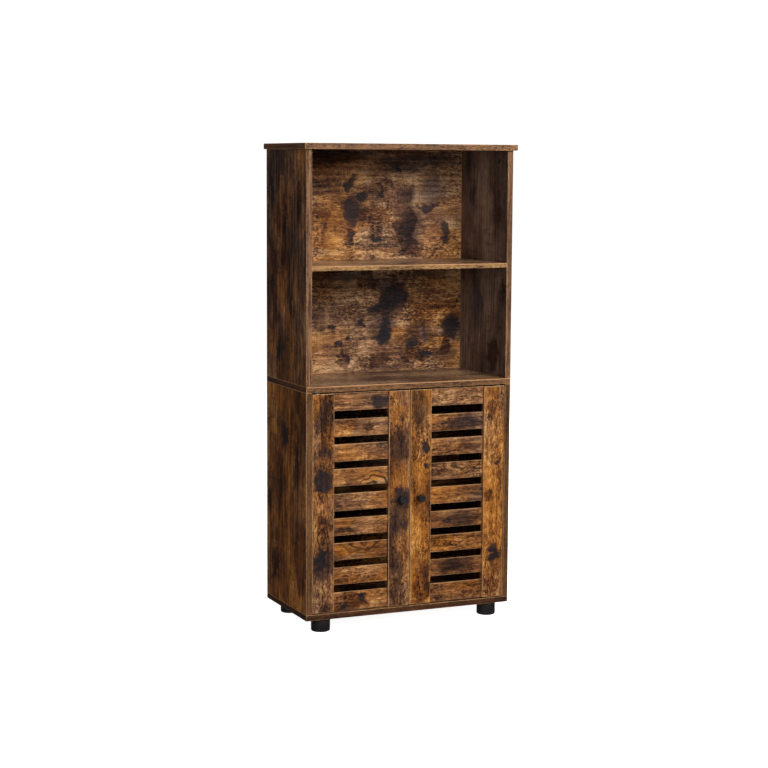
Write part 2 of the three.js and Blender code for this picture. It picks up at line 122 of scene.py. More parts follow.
@dataclass
class Graph:
    """A node tree with short words for the nodes that the finishes use."""

    tree: bpy.types.NodeTree

    def add(
        self, kind: str, inputs: dict[str | int, object] | None = None, **settings: object
    ) -> bpy.types.Node:
        """Adds one node.

        Args:
            kind: The node's type name without its ShaderNode prefix.
            inputs: What each input gets: another node's output, or a value.
            **settings: The node's own attributes.

        Returns:
            The new node.
        """
        node = self.tree.nodes.new(f"ShaderNode{kind}")
        for name, value in settings.items():
            setattr(node, name, value)
        for key, value in (inputs or {}).items():
            if isinstance(value, Socket):
                self.tree.links.new(value, node.inputs[key])
            else:
                node.inputs[key].default_value = value
        return node

    def stretched(
        self, vector: Socket, scale: Triple, turn: Triple = (0, 0, 0), shift: Triple = (0, 0, 0)
    ) -> Socket:
        """Scales, turns and then shifts a vector."""
        inputs = {"Vector": vector, "Scale": scale, "Rotation": turn, "Location": shift}
        return self.add("Mapping", inputs).outputs[0]

    def noise(
        self, vector: Socket, scale: float, detail: float = 3, rough: float = 0.55, bend: float = 0
    ) -> Socket:
        """Cloudy noise from 0 to 1."""
        inputs = {"Vector": vector, "Scale": scale, "Detail": detail}
        return self.add("TexNoise", {**inputs, "Roughness": rough, "Distortion": bend}).outputs[0]

    def math(
        self, operation: str, first: object, second: object = 0.0, clamp: bool = False
    ) -> Socket:
        """One sum on two numbers or outputs."""
        inputs = {0: first, 1: second}
        return self.add("Math", inputs, operation=operation, use_clamp=clamp).outputs[0]

    def times(self, first: object, second: object, clamp: bool = False) -> Socket:
        """The product of two numbers or outputs."""
        return self.math("MULTIPLY", first, second, clamp)

    def minus(self, first: object, second: object, clamp: bool = False) -> Socket:
        """The difference of two numbers or outputs."""
        return self.math("SUBTRACT", first, second, clamp)

    def plus(self, base: object, value: object, share: object, clamp: bool = False) -> Socket:
        """Adds a share of a value to a base."""
        inputs = {0: value, 1: share, 2: base}
        return self.add("Math", inputs, operation="MULTIPLY_ADD", use_clamp=clamp).outputs[0]

    def vector(self, operation: str, first: object, second: object) -> Socket:
        """One sum on two vectors."""
        return self.add("VectorMath", {0: first, 1: second}, operation=operation).outputs[0]

    def span(
        self, value: object, low: float, high: float, to_low: float = 0, to_high: float = 1
    ) -> Socket:
        """Eases a value from one range into another.

        Args:
            value: The output to ease.
            low: The value that becomes to_low.
            high: The value that becomes to_high.
            to_low: The start of the new range.
            to_high: The end of the new range.

        Returns:
            The eased output.
        """
        limits = {"From Min": low, "From Max": high, "To Min": to_low, "To Max": to_high}
        node = self.add("MapRange", {"Value": value, **limits}, interpolation_type="SMOOTHSTEP")
        return node.outputs[0]

    def ramp(self, share: Socket, stops: Sequence[tuple[float, str]]) -> Socket:
        """Colours a number from 0 to 1.

        Args:
            share: The number.
            stops: Places from 0 to 1 and the colour code at each.

        Returns:
            The colour.
        """
        node = self.add("ValToRGB", {"Fac": share})
        elements = node.color_ramp.elements
        for _ in stops[2:]:
            elements.new(0.5)
        for element, (place, _) in zip(elements, stops):
            element.position = place
        for element, (_, code) in zip(elements, stops):
            element.color = paint(code)
        return node.outputs[0]

    def mixed(self, share: object, first: object, second: object, blend: str = "MIX") -> Socket:
        """Mixes two colours by a share from 0 to 1."""
        settings = {"data_type": "RGBA", "blend_type": blend, "clamp_factor": True}
        return self.add("Mix", {0: share, 6: first, 7: second}, **settings).outputs[2]

    def surface(
        self,
        colour: Socket,
        rough: object,
        relief: tuple[Socket, float, float] | None = None,
        gloss: float = 0.5,
        metal: float = 0.0,
        glow: float = 0.0,
    ) -> bpy.types.Node:
        """A surface of one colour, roughness and relief.

        Args:
            colour: Its colour.
            rough: Its roughness.
            relief: The height of its relief, how strongly that shows, and its depth in metres.
            gloss: How strongly it reflects.
            metal: 1 for metal and 0 for anything else.
            glow: How strongly it gives off white light.

        Returns:
            The shader.
        """
        inputs = {
            "Base Color": colour,
            "Roughness": rough,
            "Specular IOR Level": gloss,
            "Metallic": metal,
            "Emission Color": WHITE,
            "Emission Strength": glow,
        }
        if relief:
            height, strength, depth = relief
            bump = self.add("Bump", {"Height": height, "Strength": strength, "Distance": depth})
            inputs["Normal"] = bump.outputs[0]
        return self.add("BsdfPrincipled", inputs)


@dataclass(frozen=True)
class Finish:
    """A surface finish: a material that is made once, when its first piece asks for it."""

    name: str
    slot: str = "board"

    def material(self) -> bpy.types.Material:
        """Finds this finish's material, or builds it on first use.

        Returns:
            The material.
        """
        made = bpy.data.materials.get(self.name)
        if made is None:
            made = bpy.data.materials.new(self.name)
            made.use_nodes = True
            made.node_tree.nodes.clear()
            graph = Graph(made.node_tree)
            place = graph.add("TexCoord").outputs["Object"]
            graph.add("OutputMaterial", {"Surface": self.shader(graph, place).outputs[0]})
        return made

    def shader(self, graph: Graph, place: Socket) -> bpy.types.Node:
        """Builds the surface; each finish has its own.

        Args:
            graph: The material's graph.
            place: The object coordinates, in metres.

        Returns:
            The node whose first output is the surface.
        """
        raise NotImplementedError


# The wood print and its marks


class MarkKind(Enum):
    """What a mark looks like; the value is its input on the print. The smoky marks are printed and
    also serve as painted shade.
    """

    KNOT = "Knots"
    STAIN = "Stains"
    # Smoky patches of the print, also used as painted shade where light doesn't reach
    SMOKE = "Smoke"
    RUB = "Rubs"
    EYE = "Eyes"


KNOT, STAIN, SMOKE, RUB, EYE = MarkKind

# How far a mark reaches through its board, on either side
THROUGH = 9000

# Marks by kind, each as its place along the board's face, its level, its width and its height
Spots = dict[MarkKind, Sequence[tuple[float, float, float, float]]]


@dataclass(frozen=True)
class Mark:
    """A mark on a board's print, as an ellipsoid in the room, in millimetres; smoky ones also serve
    as painted shade.
    """

    at: Triple
    radii: Triple
    kind: MarkKind


def marked(spots: Spots, through: Axis = Axis.Y) -> tuple[Mark, ...]:
    """Marks that go right through a board.

    Args:
        spots: The marks by kind.
        through: Y for a board that faces the front, X for one that faces sideways.

    Returns:
        The marks.
    """
    found = []
    for kind, rows in spots.items():
        for along, level, wide, tall in rows:
            if through is Axis.Y:
                found.append(Mark((along, 0, level), (wide / 2, THROUGH, tall / 2), kind))
            else:
                found.append(Mark((0, along, level), (THROUGH, wide / 2, tall / 2), kind))
    return tuple(found)


SHELF_SPOTS: Spots = {RUB: ((-200, 950, 240, THROUGH),)}

UPPER_LEFT_SPOTS: Spots = {
    KNOT: ((110, 1130, 26, 130), (-30, 860, 22, 120), (60, 720, 40, 90)),
    STAIN: ((94, 900, 60, 240), (20, 1080, 34, 150), (-80, 1110, 40, 140)),
}
# Marks on the inner face of the upper right wall; its smoky marks are painted shade that flattens
# the wall as if in shadow
UPPER_RIGHT_SPOTS: Spots = {
    STAIN: ((-60, 700, 70, 120), (-118, 880, 26, 90)),
    SMOKE: ((40, 830, 120, 180), (70, 1120, 50, 120)),
}
LOWER_SIDE_SPOTS: Spots = {
    KNOT: ((20, 501, 60, 110),),
    STAIN: (
        (134, 318, 30, 120),
        (-70, 430, 50, 160),
        (90, 150, 60, 120),
        (-96, 190, 110, 280),
    ),
}

UPPER_BACK_SPOTS: Spots = {
    KNOT: (
        (-59, 1157, 62, 42), (-57, 1094, 92, 66), (-56, 1066, 60, 64), (-20, 1122, 40, 24),
        (30, 1128, 28, 24), (87, 1200, 44, 26), (177, 1099, 92, 36), (22, 1010, 54, 20),
        (-132, 1046, 34, 18), (224, 1017, 40, 60), (-58, 1010, 24, 40), (68, 838, 104, 104),
        (24, 817, 60, 30), (42, 750, 54, 90), (-116, 771, 30, 24), (-18, 780, 32, 28),
        (-86, 714, 30, 26), (-60, 729, 20, 16), (126, 718, 70, 34), (175, 684, 66, 24),
        (250, 756, 66, 96), (-62, 672, 26, 40),
    ),
    STAIN: (
        (92, 1130, 110, 90), (76, 1104, 90, 100), (114, 1050, 70, 140), (84, 1024, 36, 90),
        (12, 1040, 60, 80), (-60, 1004, 44, 90), (-140, 1072, 70, 30), (54, 1141, 190, 70),
        (166, 681, 90, 40), (228, 700, 40, 70), (-69, 676, 46, 70), (14, 675, 140, 50),
        (0, 892, 80, 60), (122, 684, 60, 60), (126, 984, 90, 70),
    ),
    # Most smoky marks here, along the top under the top panel, just under the shelf and by the right
    # wall, are painted shadow; the rest are smoky patches in the print
    SMOKE: (
        (196, 1140, 120, 110), (200, 1212, 190, 60), (106, 1210, 260, 80), (-90, 1232, 380, 60),
        (-212, 1180, 150, 90), (44, 770, 100, 130), (48, 884, 150, 70), (258, 756, 110, 130),
        (182, 911, 190, 60), (-80, 908, 260, 56), (122, 1124, 90, 90), (120, 1046, 110, 160),
        (158, 752, 150, 90), (232, 684, 120, 90),
    ),
    RUB: (
        (-108, 986, 110, 100), (-134, 1112, 80, 40), (-43, 1015, 90, 40), (220, 1075, 90, 90),
        (256, 1024, 130, 210), (-112, 1062, 120, 80), (-134, 790, 60, 110), (178, 1010, 110, 80),
        (46, 970, 90, 40), (138, 1112, 50, 34), (-116, 734, 150, 60), (-139, 647, 110, 44),
        (84, 757, 90, 50), (128, 837, 56, 80),
    ),
}

DOOR_SPOTS: dict[Side, dict[str, Spots]] = {
    Side.LEFT: {
        "hinge_stile": {
            KNOT: ((-243, 392, 62, 72), (-250, 196, 40, 70)),
            STAIN: ((-240, 60, 50, 60), (-248, 272, 52, 110)),
            SMOKE: ((-246, 566, 70, 120), (-244, 474, 56, 60), (-240, 180, 90, 150)),
            RUB: ((-250, 452, 40, 50),),
            EYE: ((-249, 426, 44, 60), (-250, 240, 70, 150)),
        },
        "top_rail": {KNOT: ((-84, 594, 66, 50),), RUB: ((-160, 608, 120, 50),)},
        "slat_1": {STAIN: ((-112, 533, 52, 38),)},
        "slat_3": {EYE: ((-110, 380, 190, 90),)},
        "slat_6": {EYE: ((-128, 226, 200, 80),)},
        "bottom_rail": {
            KNOT: ((-124, 81, 32, 30), (-184, 62, 24, 24)),
            STAIN: ((-180, 72, 180, 70),),
        },
        "lock_stile": {
            KNOT: ((-20, 338, 80, 90),),
            STAIN: ((-34, 84, 66, 120),),
            SMOKE: ((-28, 478, 90, 150), (-34, 280, 80, 120), (-40, 150, 50, 140)),
            RUB: ((-42, 560, 34, 100),),
        },
    },
    Side.RIGHT: {
        "lock_stile": {
            KNOT: ((40, 478, 28, 32), (56, 421, 24, 34)),
            STAIN: ((36, 100, 60, 150),),
            SMOKE: ((27, 578, 84, 190), (52, 130, 34, 130)),
            RUB: ((38, 360, 50, 190), (24, 402, 60, 130)),
        },
        "hinge_stile": {
            KNOT: ((245, 186, 36, 40), (250, 168, 22, 60), (247, 411, 15, 18), (270, 409, 14, 16)),
            STAIN: ((240, 560, 26, 80), (238, 80, 66, 90), (236, 330, 40, 60)),
            SMOKE: ((247, 158, 40, 80),),
            RUB: ((247, 268, 54, 130),),
        },
        "slat_1": {KNOT: ((104, 536, 34, 14),), SMOKE: ((157, 531, 140, 50),)},
        "slat_2": {EYE: ((120, 444, 200, 80),)},
        "slat_3": {STAIN: ((100, 400, 40, 20),), EYE: ((170, 425, 180, 90),)},
        "slat_5": {KNOT: ((116, 270, 26, 16),), SMOKE: ((150, 273, 150, 60),)},
        "slat_7": {SMOKE: ((150, 145, 160, 64),)},
        "bottom_rail": {KNOT: ((82, 60, 28, 26),), STAIN: ((170, 76, 40, 24),)},
    },
}

# Warmth and shade of each cross piece of a door, from the top rail to the bottom rail
ROW_TONES: dict[Side, Sequence[Pair]] = {
    Side.LEFT: (
        (0.48, -0.07), (0.3, 0.0), (0.25, -0.02), (0.3, -0.05), (0.58, 0.13),
        (0.66, 0.06), (0.48, -0.1), (0.95, -0.06), (0.85, 0.06),
    ),
    Side.RIGHT: (
        (0.5, 0.02), (0.27, 0.06), (0.5, 0.095), (0.58, 0.095), (0.68, -0.04),
        (0.4, 0.02), (0.5, -0.02), (0.1, 0.07), (0.9, 0.04),
    ),
}

TAN_TONES = ((0.0, "1e1511"), (0.26, "453126"), (0.5, "73503a"), (0.74, "a27a56"), (1.0, "d2a87c"))
ORANGE_TONES = (
    (0.0, "241307"), (0.26, "5b3315"), (0.5, "8f5622"), (0.74, "ba7730"),
    (1.0, "da9f56"),
)


@dataclass(frozen=True)
class Layer:
    """One noise of the print: its cells in a metre along and across the grain, and its kind."""

    along: float
    across: float
    shift: Triple = (0, 0, 0)
    detail: float = 4
    rough: float = 0.6
    bend: float = 0
    wanders: bool = True


PRINT_LAYERS = {
    "streaks": Layer(1.6, 13),
    "clouds": Layer(4.5, 7, (3, 1, 2)),
    "busy": Layer(8, 12, (6, 2, 2), 3),
    "mottle": Layer(48, 150, (0, 0, 0), 5, 0.72, 0.25),
    "blotch": Layer(16, 44, (2, 8, 5), 4, 0.65, 0.4),
    "crackle": Layer(100, 225, (4, 1, 7), 3, 0.75, 0.5),
    "fleck": Layer(110, 240, (3, 3, 1), 3, 0.65),
    "grain": Layer(7, 190, (0, 0, 0), 3, 0.65, wanders=False),
    "fibre": Layer(60, 300, (0, 0, 0), 3, 0.65, wanders=False),
    "saw": Layer(300, 14, (0, 0, 0), 1, 0.5, wanders=False),
    "patch": Layer(9, 14, (2, 6, 8), 2, 0.5, wanders=False),
    "warmth": Layer(3, 5, (7, 5, 1), 2, 0.5, wanders=False),
    "ridge": Layer(18, 90, (1, 9, 4), 3, 0.6, 0.7),
    "spread": Layer(3.8, 6.5, (4, 4, 9)),
    "bloom": Layer(9, 14, (8, 3, 5), 3, 0.55),
}


class RusticPrint:
    """The printed wood picture that all foils share, as one node group.

    Its Vector runs along the grain in X, in metres. Each kind of mark has an input. Warmth leads
    from tan to orange, Shade from light to dark, Figure is how busy the print is, Contrast is how
    far its light and dark parts lie apart, and Grey is how much of its colour has gone.
    """

    name = "rustic_print"
    dials = ("Warmth", "Shade", "Figure", "Contrast", "Grey")
    middle_tone = 0.42
    split_ink = "24160f"
    saw_ink = "3a2317"
    fleck_tint = "c99a68"
    ring_ink = "2c1a0f"
    knot_ink = "24262d"
    stain_tint: Colour = (0.5, 0.43, 0.44, 1.0)
    smoke_tint: Colour = (0.36, 0.41, 0.66, 1.0)
    knot_tint: Colour = (0.2, 0.2, 0.26, 1.0)

    @classmethod
    def tree(cls) -> bpy.types.NodeTree:
        """The node group, built on first use."""
        return bpy.data.node_groups.get(cls.name) or cls().graph.tree

    def __init__(self) -> None:
        """Draws the whole print."""
        tree = bpy.data.node_groups.new(self.name, "ShaderNodeTree")
        sockets = [("Vector", "INPUT", "NodeSocketVector")]
        for name in (*(kind.value for kind in MarkKind), *self.dials):
            sockets.append((name, "INPUT", "NodeSocketFloat"))
        sockets.append(("Color", "OUTPUT", "NodeSocketColor"))
        sockets += [(name, "OUTPUT", "NodeSocketFloat") for name in ("Roughness", "Height")]
        for name, direction, kind in sockets:
            tree.interface.new_socket(name=name, in_out=direction, socket_type=kind)
        self.graph = Graph(tree)
        self.given = tree.nodes.new("NodeGroupInput").outputs
        self.lay_layers()
        self.shape_marks()
        colour = self.inked(self.scored(self.palette(self.tone())))
        rough = self.graph.span(self.layers["mottle"], 0.25, 0.75, 0.5, 0.62)
        out = tree.nodes.new("NodeGroupOutput")
        for name, output in (("Color", colour), ("Roughness", rough), ("Height", self.height())):
            tree.links.new(output, out.inputs[name])

    def lay_layers(self) -> None:
        """Makes the noises, the rings and the square-cut pieces that the print is mixed from."""
        graph, place = self.graph, self.given["Vector"]
        sway = graph.add("TexNoise", {"Vector": place, "Scale": 5.0, "Detail": 3.0}).outputs[1]
        sway = graph.vector("SUBTRACT", sway, (0.5, 0.5, 0.5))
        wandering = graph.vector("ADD", place, graph.vector("MULTIPLY", sway, (0.05, 0.03, 0.03)))
        self.layers: dict[str, Socket] = {}
        for name, layer in PRINT_LAYERS.items():
            scale = (layer.along, layer.across, layer.across)
            path = wandering if layer.wanders else place
            path = graph.stretched(path, scale, shift=layer.shift)
            self.layers[name] = graph.noise(path, 1, layer.detail, layer.rough, layer.bend)
        rings = {
            "Vector": graph.stretched(wandering, (0.3, 1, 1), shift=(0, 0.13, 0.11)),
            "Scale": 21.0,
            "Distortion": 5.0,
            "Detail": 2.0,
            "Detail Scale": 1.4,
        }
        wave = graph.add("TexWave", rings, wave_type="RINGS", rings_direction="X")
        self.rings = wave.outputs["Fac"]
        nudge = graph.vector("MULTIPLY", sway, (0.05, 0.012, 0.012))
        squares = graph.stretched(graph.vector("ADD", place, nudge), (7.5, 17, 17))
        inputs = {"Vector": squares, "Scale": 1.0, "Randomness": 0.9}
        cells = graph.add("TexVoronoi", inputs, distance="CHEBYCHEV").outputs["Color"]
        self.pieces = graph.add("SeparateColor", {0: cells}).outputs

    def shape_marks(self) -> None:
        """Turns the soft masks of the marks into ragged ones."""
        graph, layers, given = self.graph, self.layers, self.given
        self.rubbed = graph.span(given["Rubs"], 0.0, 0.7)
        self.smeared = graph.span(given["Stains"], 0.0, 0.6)
        self.frayed = graph.math(
            "ADD", graph.span(layers["mottle"], 0.3, 0.7), graph.span(layers["blotch"], 0.3, 0.7)
        )
        uneven = graph.minus(self.frayed, 1.0)
        # The smoky mask: smoky patches of the print and painted shade alike
        smoke_and_shade = graph.plus(graph.span(given["Smoke"], 0.0, 0.75), uneven, 0.22)
        self.smoked_and_shaded = graph.times(smoke_and_shade, graph.span(given["Smoke"], 0.0, 0.2), True)
        inner = graph.span(given["Knots"], 0.0, 0.8)
        inner = graph.math("MAXIMUM", inner, graph.span(layers["bloom"], 0.66, 0.9))
        core = graph.plus(inner, uneven, 0.4)
        core = graph.plus(core, graph.span(layers["crackle"], 0.38, 0.6, -0.5, 0.5), 0.5)
        self.knotted = graph.times(graph.span(core, 0.1, 0.56), graph.span(inner, 0.0, 0.1))

    def tone(self) -> Socket:
        """Mixes how light the print is from its slow and its quick layers.

        Returns:
            The tone from 0 to 1.
        """
        graph, layers, figure = self.graph, self.layers, self.given["Figure"]
        slow = graph.plus(graph.times(layers["streaks"], 0.4), layers["clouds"], 0.6)
        tone = graph.plus(0.16, graph.span(slow, 0.33, 0.67), 0.5)
        # The smoky mask darkens the tone, both as a print mark and as painted shade
        for part, share in (
            (self.pieces[0], 0.2),
            (self.rubbed, 0.2),
            (self.smeared, -0.14),
            (self.smoked_and_shaded, -0.06),
        ):
            tone = graph.plus(tone, part, share)
        busy = graph.plus(graph.span(layers["busy"], 0.36, 0.62, 0.1, 0.9), self.pieces[1], 0.5)
        busy = graph.times(graph.plus(busy, self.smeared, 0.3), figure)
        busy = graph.times(busy, graph.span(self.rubbed, 0.1, 0.9, 1, 0.5))
        busy = graph.times(busy, graph.span(self.smoked_and_shaded, 0, 1, 1, 0.45))
        for name, low, high, share in (
            ("mottle", 0.32, 0.68, graph.times(busy, 0.26)),
            ("blotch", 0.34, 0.66, graph.plus(0.2, self.smoked_and_shaded, -0.1)),
            ("crackle", 0.38, 0.6, graph.times(busy, 0.48)),
            ("grain", 0.3, 0.7, graph.plus(0.36, figure, -0.15)),
            ("fibre", 0.25, 0.75, 0.28),
        ):
            tone = graph.plus(tone, graph.span(layers[name], low, high, -0.5, 0.5), share)
        tone = graph.plus(tone, graph.minus(self.rings, 0.5), 0.12)
        swing = graph.minus(tone, self.middle_tone)
        tone = graph.plus(self.middle_tone, swing, self.given["Contrast"])
        return graph.minus(tone, self.given["Shade"], True)

    def palette(self, tone: Socket) -> Socket:
        """Colours the print, some of its pieces tan and some of them orange.

        Args:
            tone: How light it is.

        Returns:
            The colour.
        """
        graph = self.graph
        drift = graph.span(self.layers["warmth"], 0.35, 0.65, -0.35, 0.35)
        warm = graph.plus(graph.math("ADD", drift, self.given["Warmth"]), self.rubbed, 0.2)
        warm = graph.plus(warm, graph.minus(self.pieces[2], 0.5), 0.7, True)
        colour = graph.mixed(warm, graph.ramp(tone, TAN_TONES), graph.ramp(tone, ORANGE_TONES))
        faded = graph.add("RGBToBW", {0: colour}).outputs[0]
        return graph.mixed(self.given["Grey"], colour, faded)

    def scored(self, colour: Socket) -> Socket:
        """Adds short splits along the grain, saw marks across it and pale rubbed flecks.

        Args:
            colour: The print so far.

        Returns:
            The print with them.
        """
        graph, layers, figure = self.graph, self.layers, self.given["Figure"]
        ridge = graph.math("ABSOLUTE", graph.minus(layers["ridge"], 0.5))
        split = graph.span(ridge, 0.004, 0.022, 1, 0)
        split = graph.times(split, graph.span(layers["patch"], 0.42, 0.54))
        self.split = graph.times(split, figure)
        saw = graph.span(layers["saw"], 0.54, 0.68)
        self.saw = graph.times(saw, graph.span(layers["patch"], 0.5, 0.38))
        fleck = graph.span(layers["fleck"], 0.57, 0.68)
        fleck = graph.times(fleck, graph.span(layers["clouds"], 0.4, 0.62))
        fleck = graph.times(fleck, figure)
        for share, strength, tint in (
            (self.split, 0.8, self.split_ink),
            (self.saw, 0.4, self.saw_ink),
            (fleck, 0.5, self.fleck_tint),
        ):
            colour = graph.mixed(graph.times(share, strength), colour, paint(tint))
        return colour

    def inked(self, colour: Socket) -> Socket:
        """Prints the marks: eyes of thin rings, brown stains, grey smoky patches that also serve as
        painted shade, and blue-black knots.

        Args:
            colour: The print so far.

        Returns:
            The print with them.
        """
        graph, layers, given = self.graph, self.layers, self.given
        phase = graph.plus(graph.times(given["Eyes"], 21.0), layers["blotch"], 3.5)
        line = graph.span(graph.math("SINE", phase), 0.1, 0.95)
        line = graph.times(line, graph.span(given["Eyes"], 0.02, 0.5, 0, 0.9))
        line = graph.times(line, graph.span(layers["blotch"], 0.3, 0.55, 0.4, 1))
        colour = graph.mixed(line, colour, paint(self.ring_ink))

        halo = graph.times(graph.span(given["Knots"], 0.0, 0.3), 0.4)
        stain = graph.math("MAXIMUM", graph.span(layers["spread"], 0.54, 0.76), self.smeared)
        stain = graph.math("MAXIMUM", stain, halo)
        stain = graph.span(graph.times(stain, graph.plus(0.55, self.frayed, 0.45)), 0.02, 0.7)
        colour = graph.mixed(stain, colour, self.stain_tint, "MULTIPLY")
        # Smoky patches and painted shade tint the print grey-blue
        colour = graph.mixed(graph.times(self.smoked_and_shaded, 0.9), colour, self.smoke_tint, "MULTIPLY")

        knot = graph.mixed(1.0, colour, self.knot_tint, "MULTIPLY")
        knot = graph.mixed(0.5, knot, paint(self.knot_ink))
        return graph.mixed(graph.times(self.knotted, 0.95), colour, knot)

    def height(self) -> Socket:
        """The relief of the foil: raised fibres, sunk splits and saw marks."""
        height = self.graph.plus(self.graph.times(self.layers["fibre"], 0.35), self.split, -0.8)
        return self.graph.plus(height, self.saw, -0.3)


# How marks are pushed out of their plain shape: the scale of each push and its reach
RAGGED_PUSHES = ((16.0, 0.055), (62.0, 0.03), (200.0, 0.008))
GENTLE_PUSHES = ((13.0, 0.06), (34.0, 0.014))

# How each grain direction is turned to lie along X
GRAIN_TURNS: dict[Axis, Triple] = {
    Axis.X: (0, 0, 0),
    Axis.Y: (0, 0, -math.pi / 2),
    Axis.Z: (0, math.pi / 2, 0),
}


@dataclass(frozen=True)
class RusticFoil(Finish):
    """The printed foil on a board's broad faces."""

    grain: Axis = Axis.X
    shift: Triple = (0, 0, 0)
    warmth: float = 0.3
    shade: float = 0.0
    figure: float = 1.0
    marks: tuple[Mark, ...] = ()
    gloss: float = 0.12
    contrast: float = 1.0
    grey: float = 0.0
    smooth: float = 0.0

    def mask(self, graph: Graph, place: Socket, kind: MarkKind) -> Socket | None:
        """Gathers the listed marks of one kind.

        Args:
            graph: The material's graph.
            place: The object coordinates, already pushed about.
            kind: Which marks to take.

        Returns:
            1 in the middle of each mark, falling to 0 at its rim, or None without marks.
        """
        most = None
        for mark in self.marks:
            if mark.kind is not kind:
                continue
            inputs = {
                "Vector": place,
                "Location": [value * MM for value in mark.at],
                "Scale": [value * MM for value in mark.radii],
            }
            local = graph.add("Mapping", inputs, vector_type="TEXTURE").outputs[0]
            ball = graph.add("TexGradient", {"Vector": local}, gradient_type="SPHERICAL")
            fade = ball.outputs["Fac"]
            most = fade if most is None else graph.math("MAXIMUM", fade, most)
        return most

    def pushed(self, graph: Graph, place: Socket, pushes: Sequence[Pair]) -> Socket:
        """Pushes the coordinates about, so that marks get uneven outlines.

        Args:
            graph: The material's graph.
            place: The object coordinates.
            pushes: The scale of each push and how far it reaches, in metres.

        Returns:
            The pushed coordinates, or the same ones where the foil has no marks.
        """
        for scale, reach in pushes if self.marks else ():
            inputs = {"Vector": place, "Scale": scale, "Detail": 2.0}
            push = graph.add("TexNoise", inputs).outputs["Color"]
            push = graph.vector("SUBTRACT", push, (0.5,) * 3)
            place = graph.vector("ADD", place, graph.vector("MULTIPLY", push, (reach,) * 3))
        return place

    def shader(self, graph: Graph, place: Socket) -> bpy.types.Node:
        """Builds the foil: the shared print, laid in this board's direction.

        Args:
            graph: The material's graph.
            place: The object coordinates, in metres.

        Returns:
            The shader.
        """
        turned = graph.stretched(place, (1, 1, 1), GRAIN_TURNS[self.grain], self.shift)
        inputs: dict[str | int, object] = {"Vector": turned}
        ragged = self.pushed(graph, place, RAGGED_PUSHES)
        swayed = self.pushed(graph, place, GENTLE_PUSHES)
        for kind in MarkKind:
            mask = self.mask(graph, swayed if kind is EYE else ragged, kind)
            if mask is not None:
                inputs[kind.value] = mask
        dials = (self.warmth, self.shade, self.figure, self.contrast, self.grey)
        inputs.update(zip(RusticPrint.dials, dials))
        group = graph.add("Group", inputs, node_tree=RusticPrint.tree())
        rough = graph.minus(group.outputs["Roughness"], self.smooth)
        relief = (group.outputs["Height"], 0.35, 0.0004)
        return graph.surface(group.outputs["Color"], rough, relief, self.gloss)


@dataclass(frozen=True)
class EdgeBand(Finish):
    """The narrow strip glued along a board's edge: fine lines with short dark dashes.

    Its highlight_levels are heights above the floor, in millimetres, at which a pale line along its
    rim is a painted highlight.
    """

    grain: Axis = Axis.X
    light: str = "a2774b"
    dark: str = "3f2a1b"
    dashes: float = 0.7
    lines: float = 0.34
    fine: float = 170
    highlight_levels: tuple[float, ...] = ()
    highlight_tint: str = "cb9464"
    dash_ink: str = "2f1e15"

    def shader(self, graph: Graph, place: Socket) -> bpy.types.Node:
        """Builds the strip, its grain along the edge.

        Args:
            graph: The material's graph.
            place: The object coordinates, in metres.

        Returns:
            The shader.
        """
        turned = graph.stretched(place, (1, 1, 1), GRAIN_TURNS[self.grain])
        long = graph.noise(graph.stretched(turned, (9, self.fine, self.fine)), 1, 4, 0.65)
        short = graph.noise(graph.stretched(turned, (110, 280, 280)), 1, 4, 0.75)
        wide = graph.noise(graph.stretched(turned, (8, 12, 12), shift=(3, 3, 3)), 1, 3, 0.6)
        tone = graph.times(graph.span(long, 0.34, 0.66), self.lines)
        tone = graph.plus(tone, graph.span(short, 0.38, 0.62), 0.8 - self.lines)
        tone = graph.plus(tone, graph.span(wide, 0.35, 0.65), 0.2)
        colour = graph.ramp(tone, ((0.12, self.dark), (0.82, self.light)))
        dash = graph.noise(graph.stretched(turned, (100, 240, 240), shift=(1, 2, 3)), 1, 3, 0.6)
        dash = graph.span(dash, 0.56, 0.64, 0, self.dashes)
        colour = graph.mixed(dash, colour, paint(self.dash_ink))
        # A pale line at each of these levels is a painted highlight along the top rim
        for laid in self.highlight_levels:
            level = graph.add("SeparateXYZ", {0: place}).outputs[2]
            off = graph.math("ABSOLUTE", graph.minus(level, laid * MM))
            line = graph.span(off, 0.8 * MM, 1.8 * MM, 0.9, 0)
            colour = graph.mixed(line, colour, paint(self.highlight_tint))
        rough = graph.span(short, 0.3, 0.7, 0.5, 0.66)
        return graph.surface(colour, rough, (short, 0.3, 0.0003), 0.18)


@dataclass(frozen=True)
class ChipCore(Finish):
    """Bare chipboard inside bores and mortises."""

    def shader(self, graph: Graph, place: Socket) -> bpy.types.Node:
        """Builds pressed chips of several browns.

        Args:
            graph: The material's graph.
            place: The object coordinates, in metres.

        Returns:
            The shader.
        """
        cells = graph.add("TexVoronoi", {"Vector": place, "Scale": 620.0})
        chip = graph.add("SeparateColor", {0: cells.outputs["Color"]}).outputs[0]
        colour = graph.ramp(chip, ((0.0, "6f4f33"), (0.5, "a98659"), (1.0, "d0b488")))
        rough = graph.span(chip, 0, 1, 0.8, 0.95)
        return graph.surface(colour, rough, (cells.outputs["Distance"], 0.6, 0.0005))


@dataclass(frozen=True)
class BareWood(Finish):
    """Pale turned wood, for the dowels."""

    def shader(self, graph: Graph, place: Socket) -> bpy.types.Node:
        """Builds a fine pale grain.

        Args:
            graph: The material's graph.
            place: The object coordinates, in metres.

        Returns:
            The shader.
        """
        grain = graph.noise(place, 260, 4, 0.6)
        colour = graph.ramp(grain, ((0.25, "b98f5f"), (0.75, "dcbd8e")))
        return graph.surface(colour, graph.span(grain, 0.3, 0.7, 0.6, 0.75))


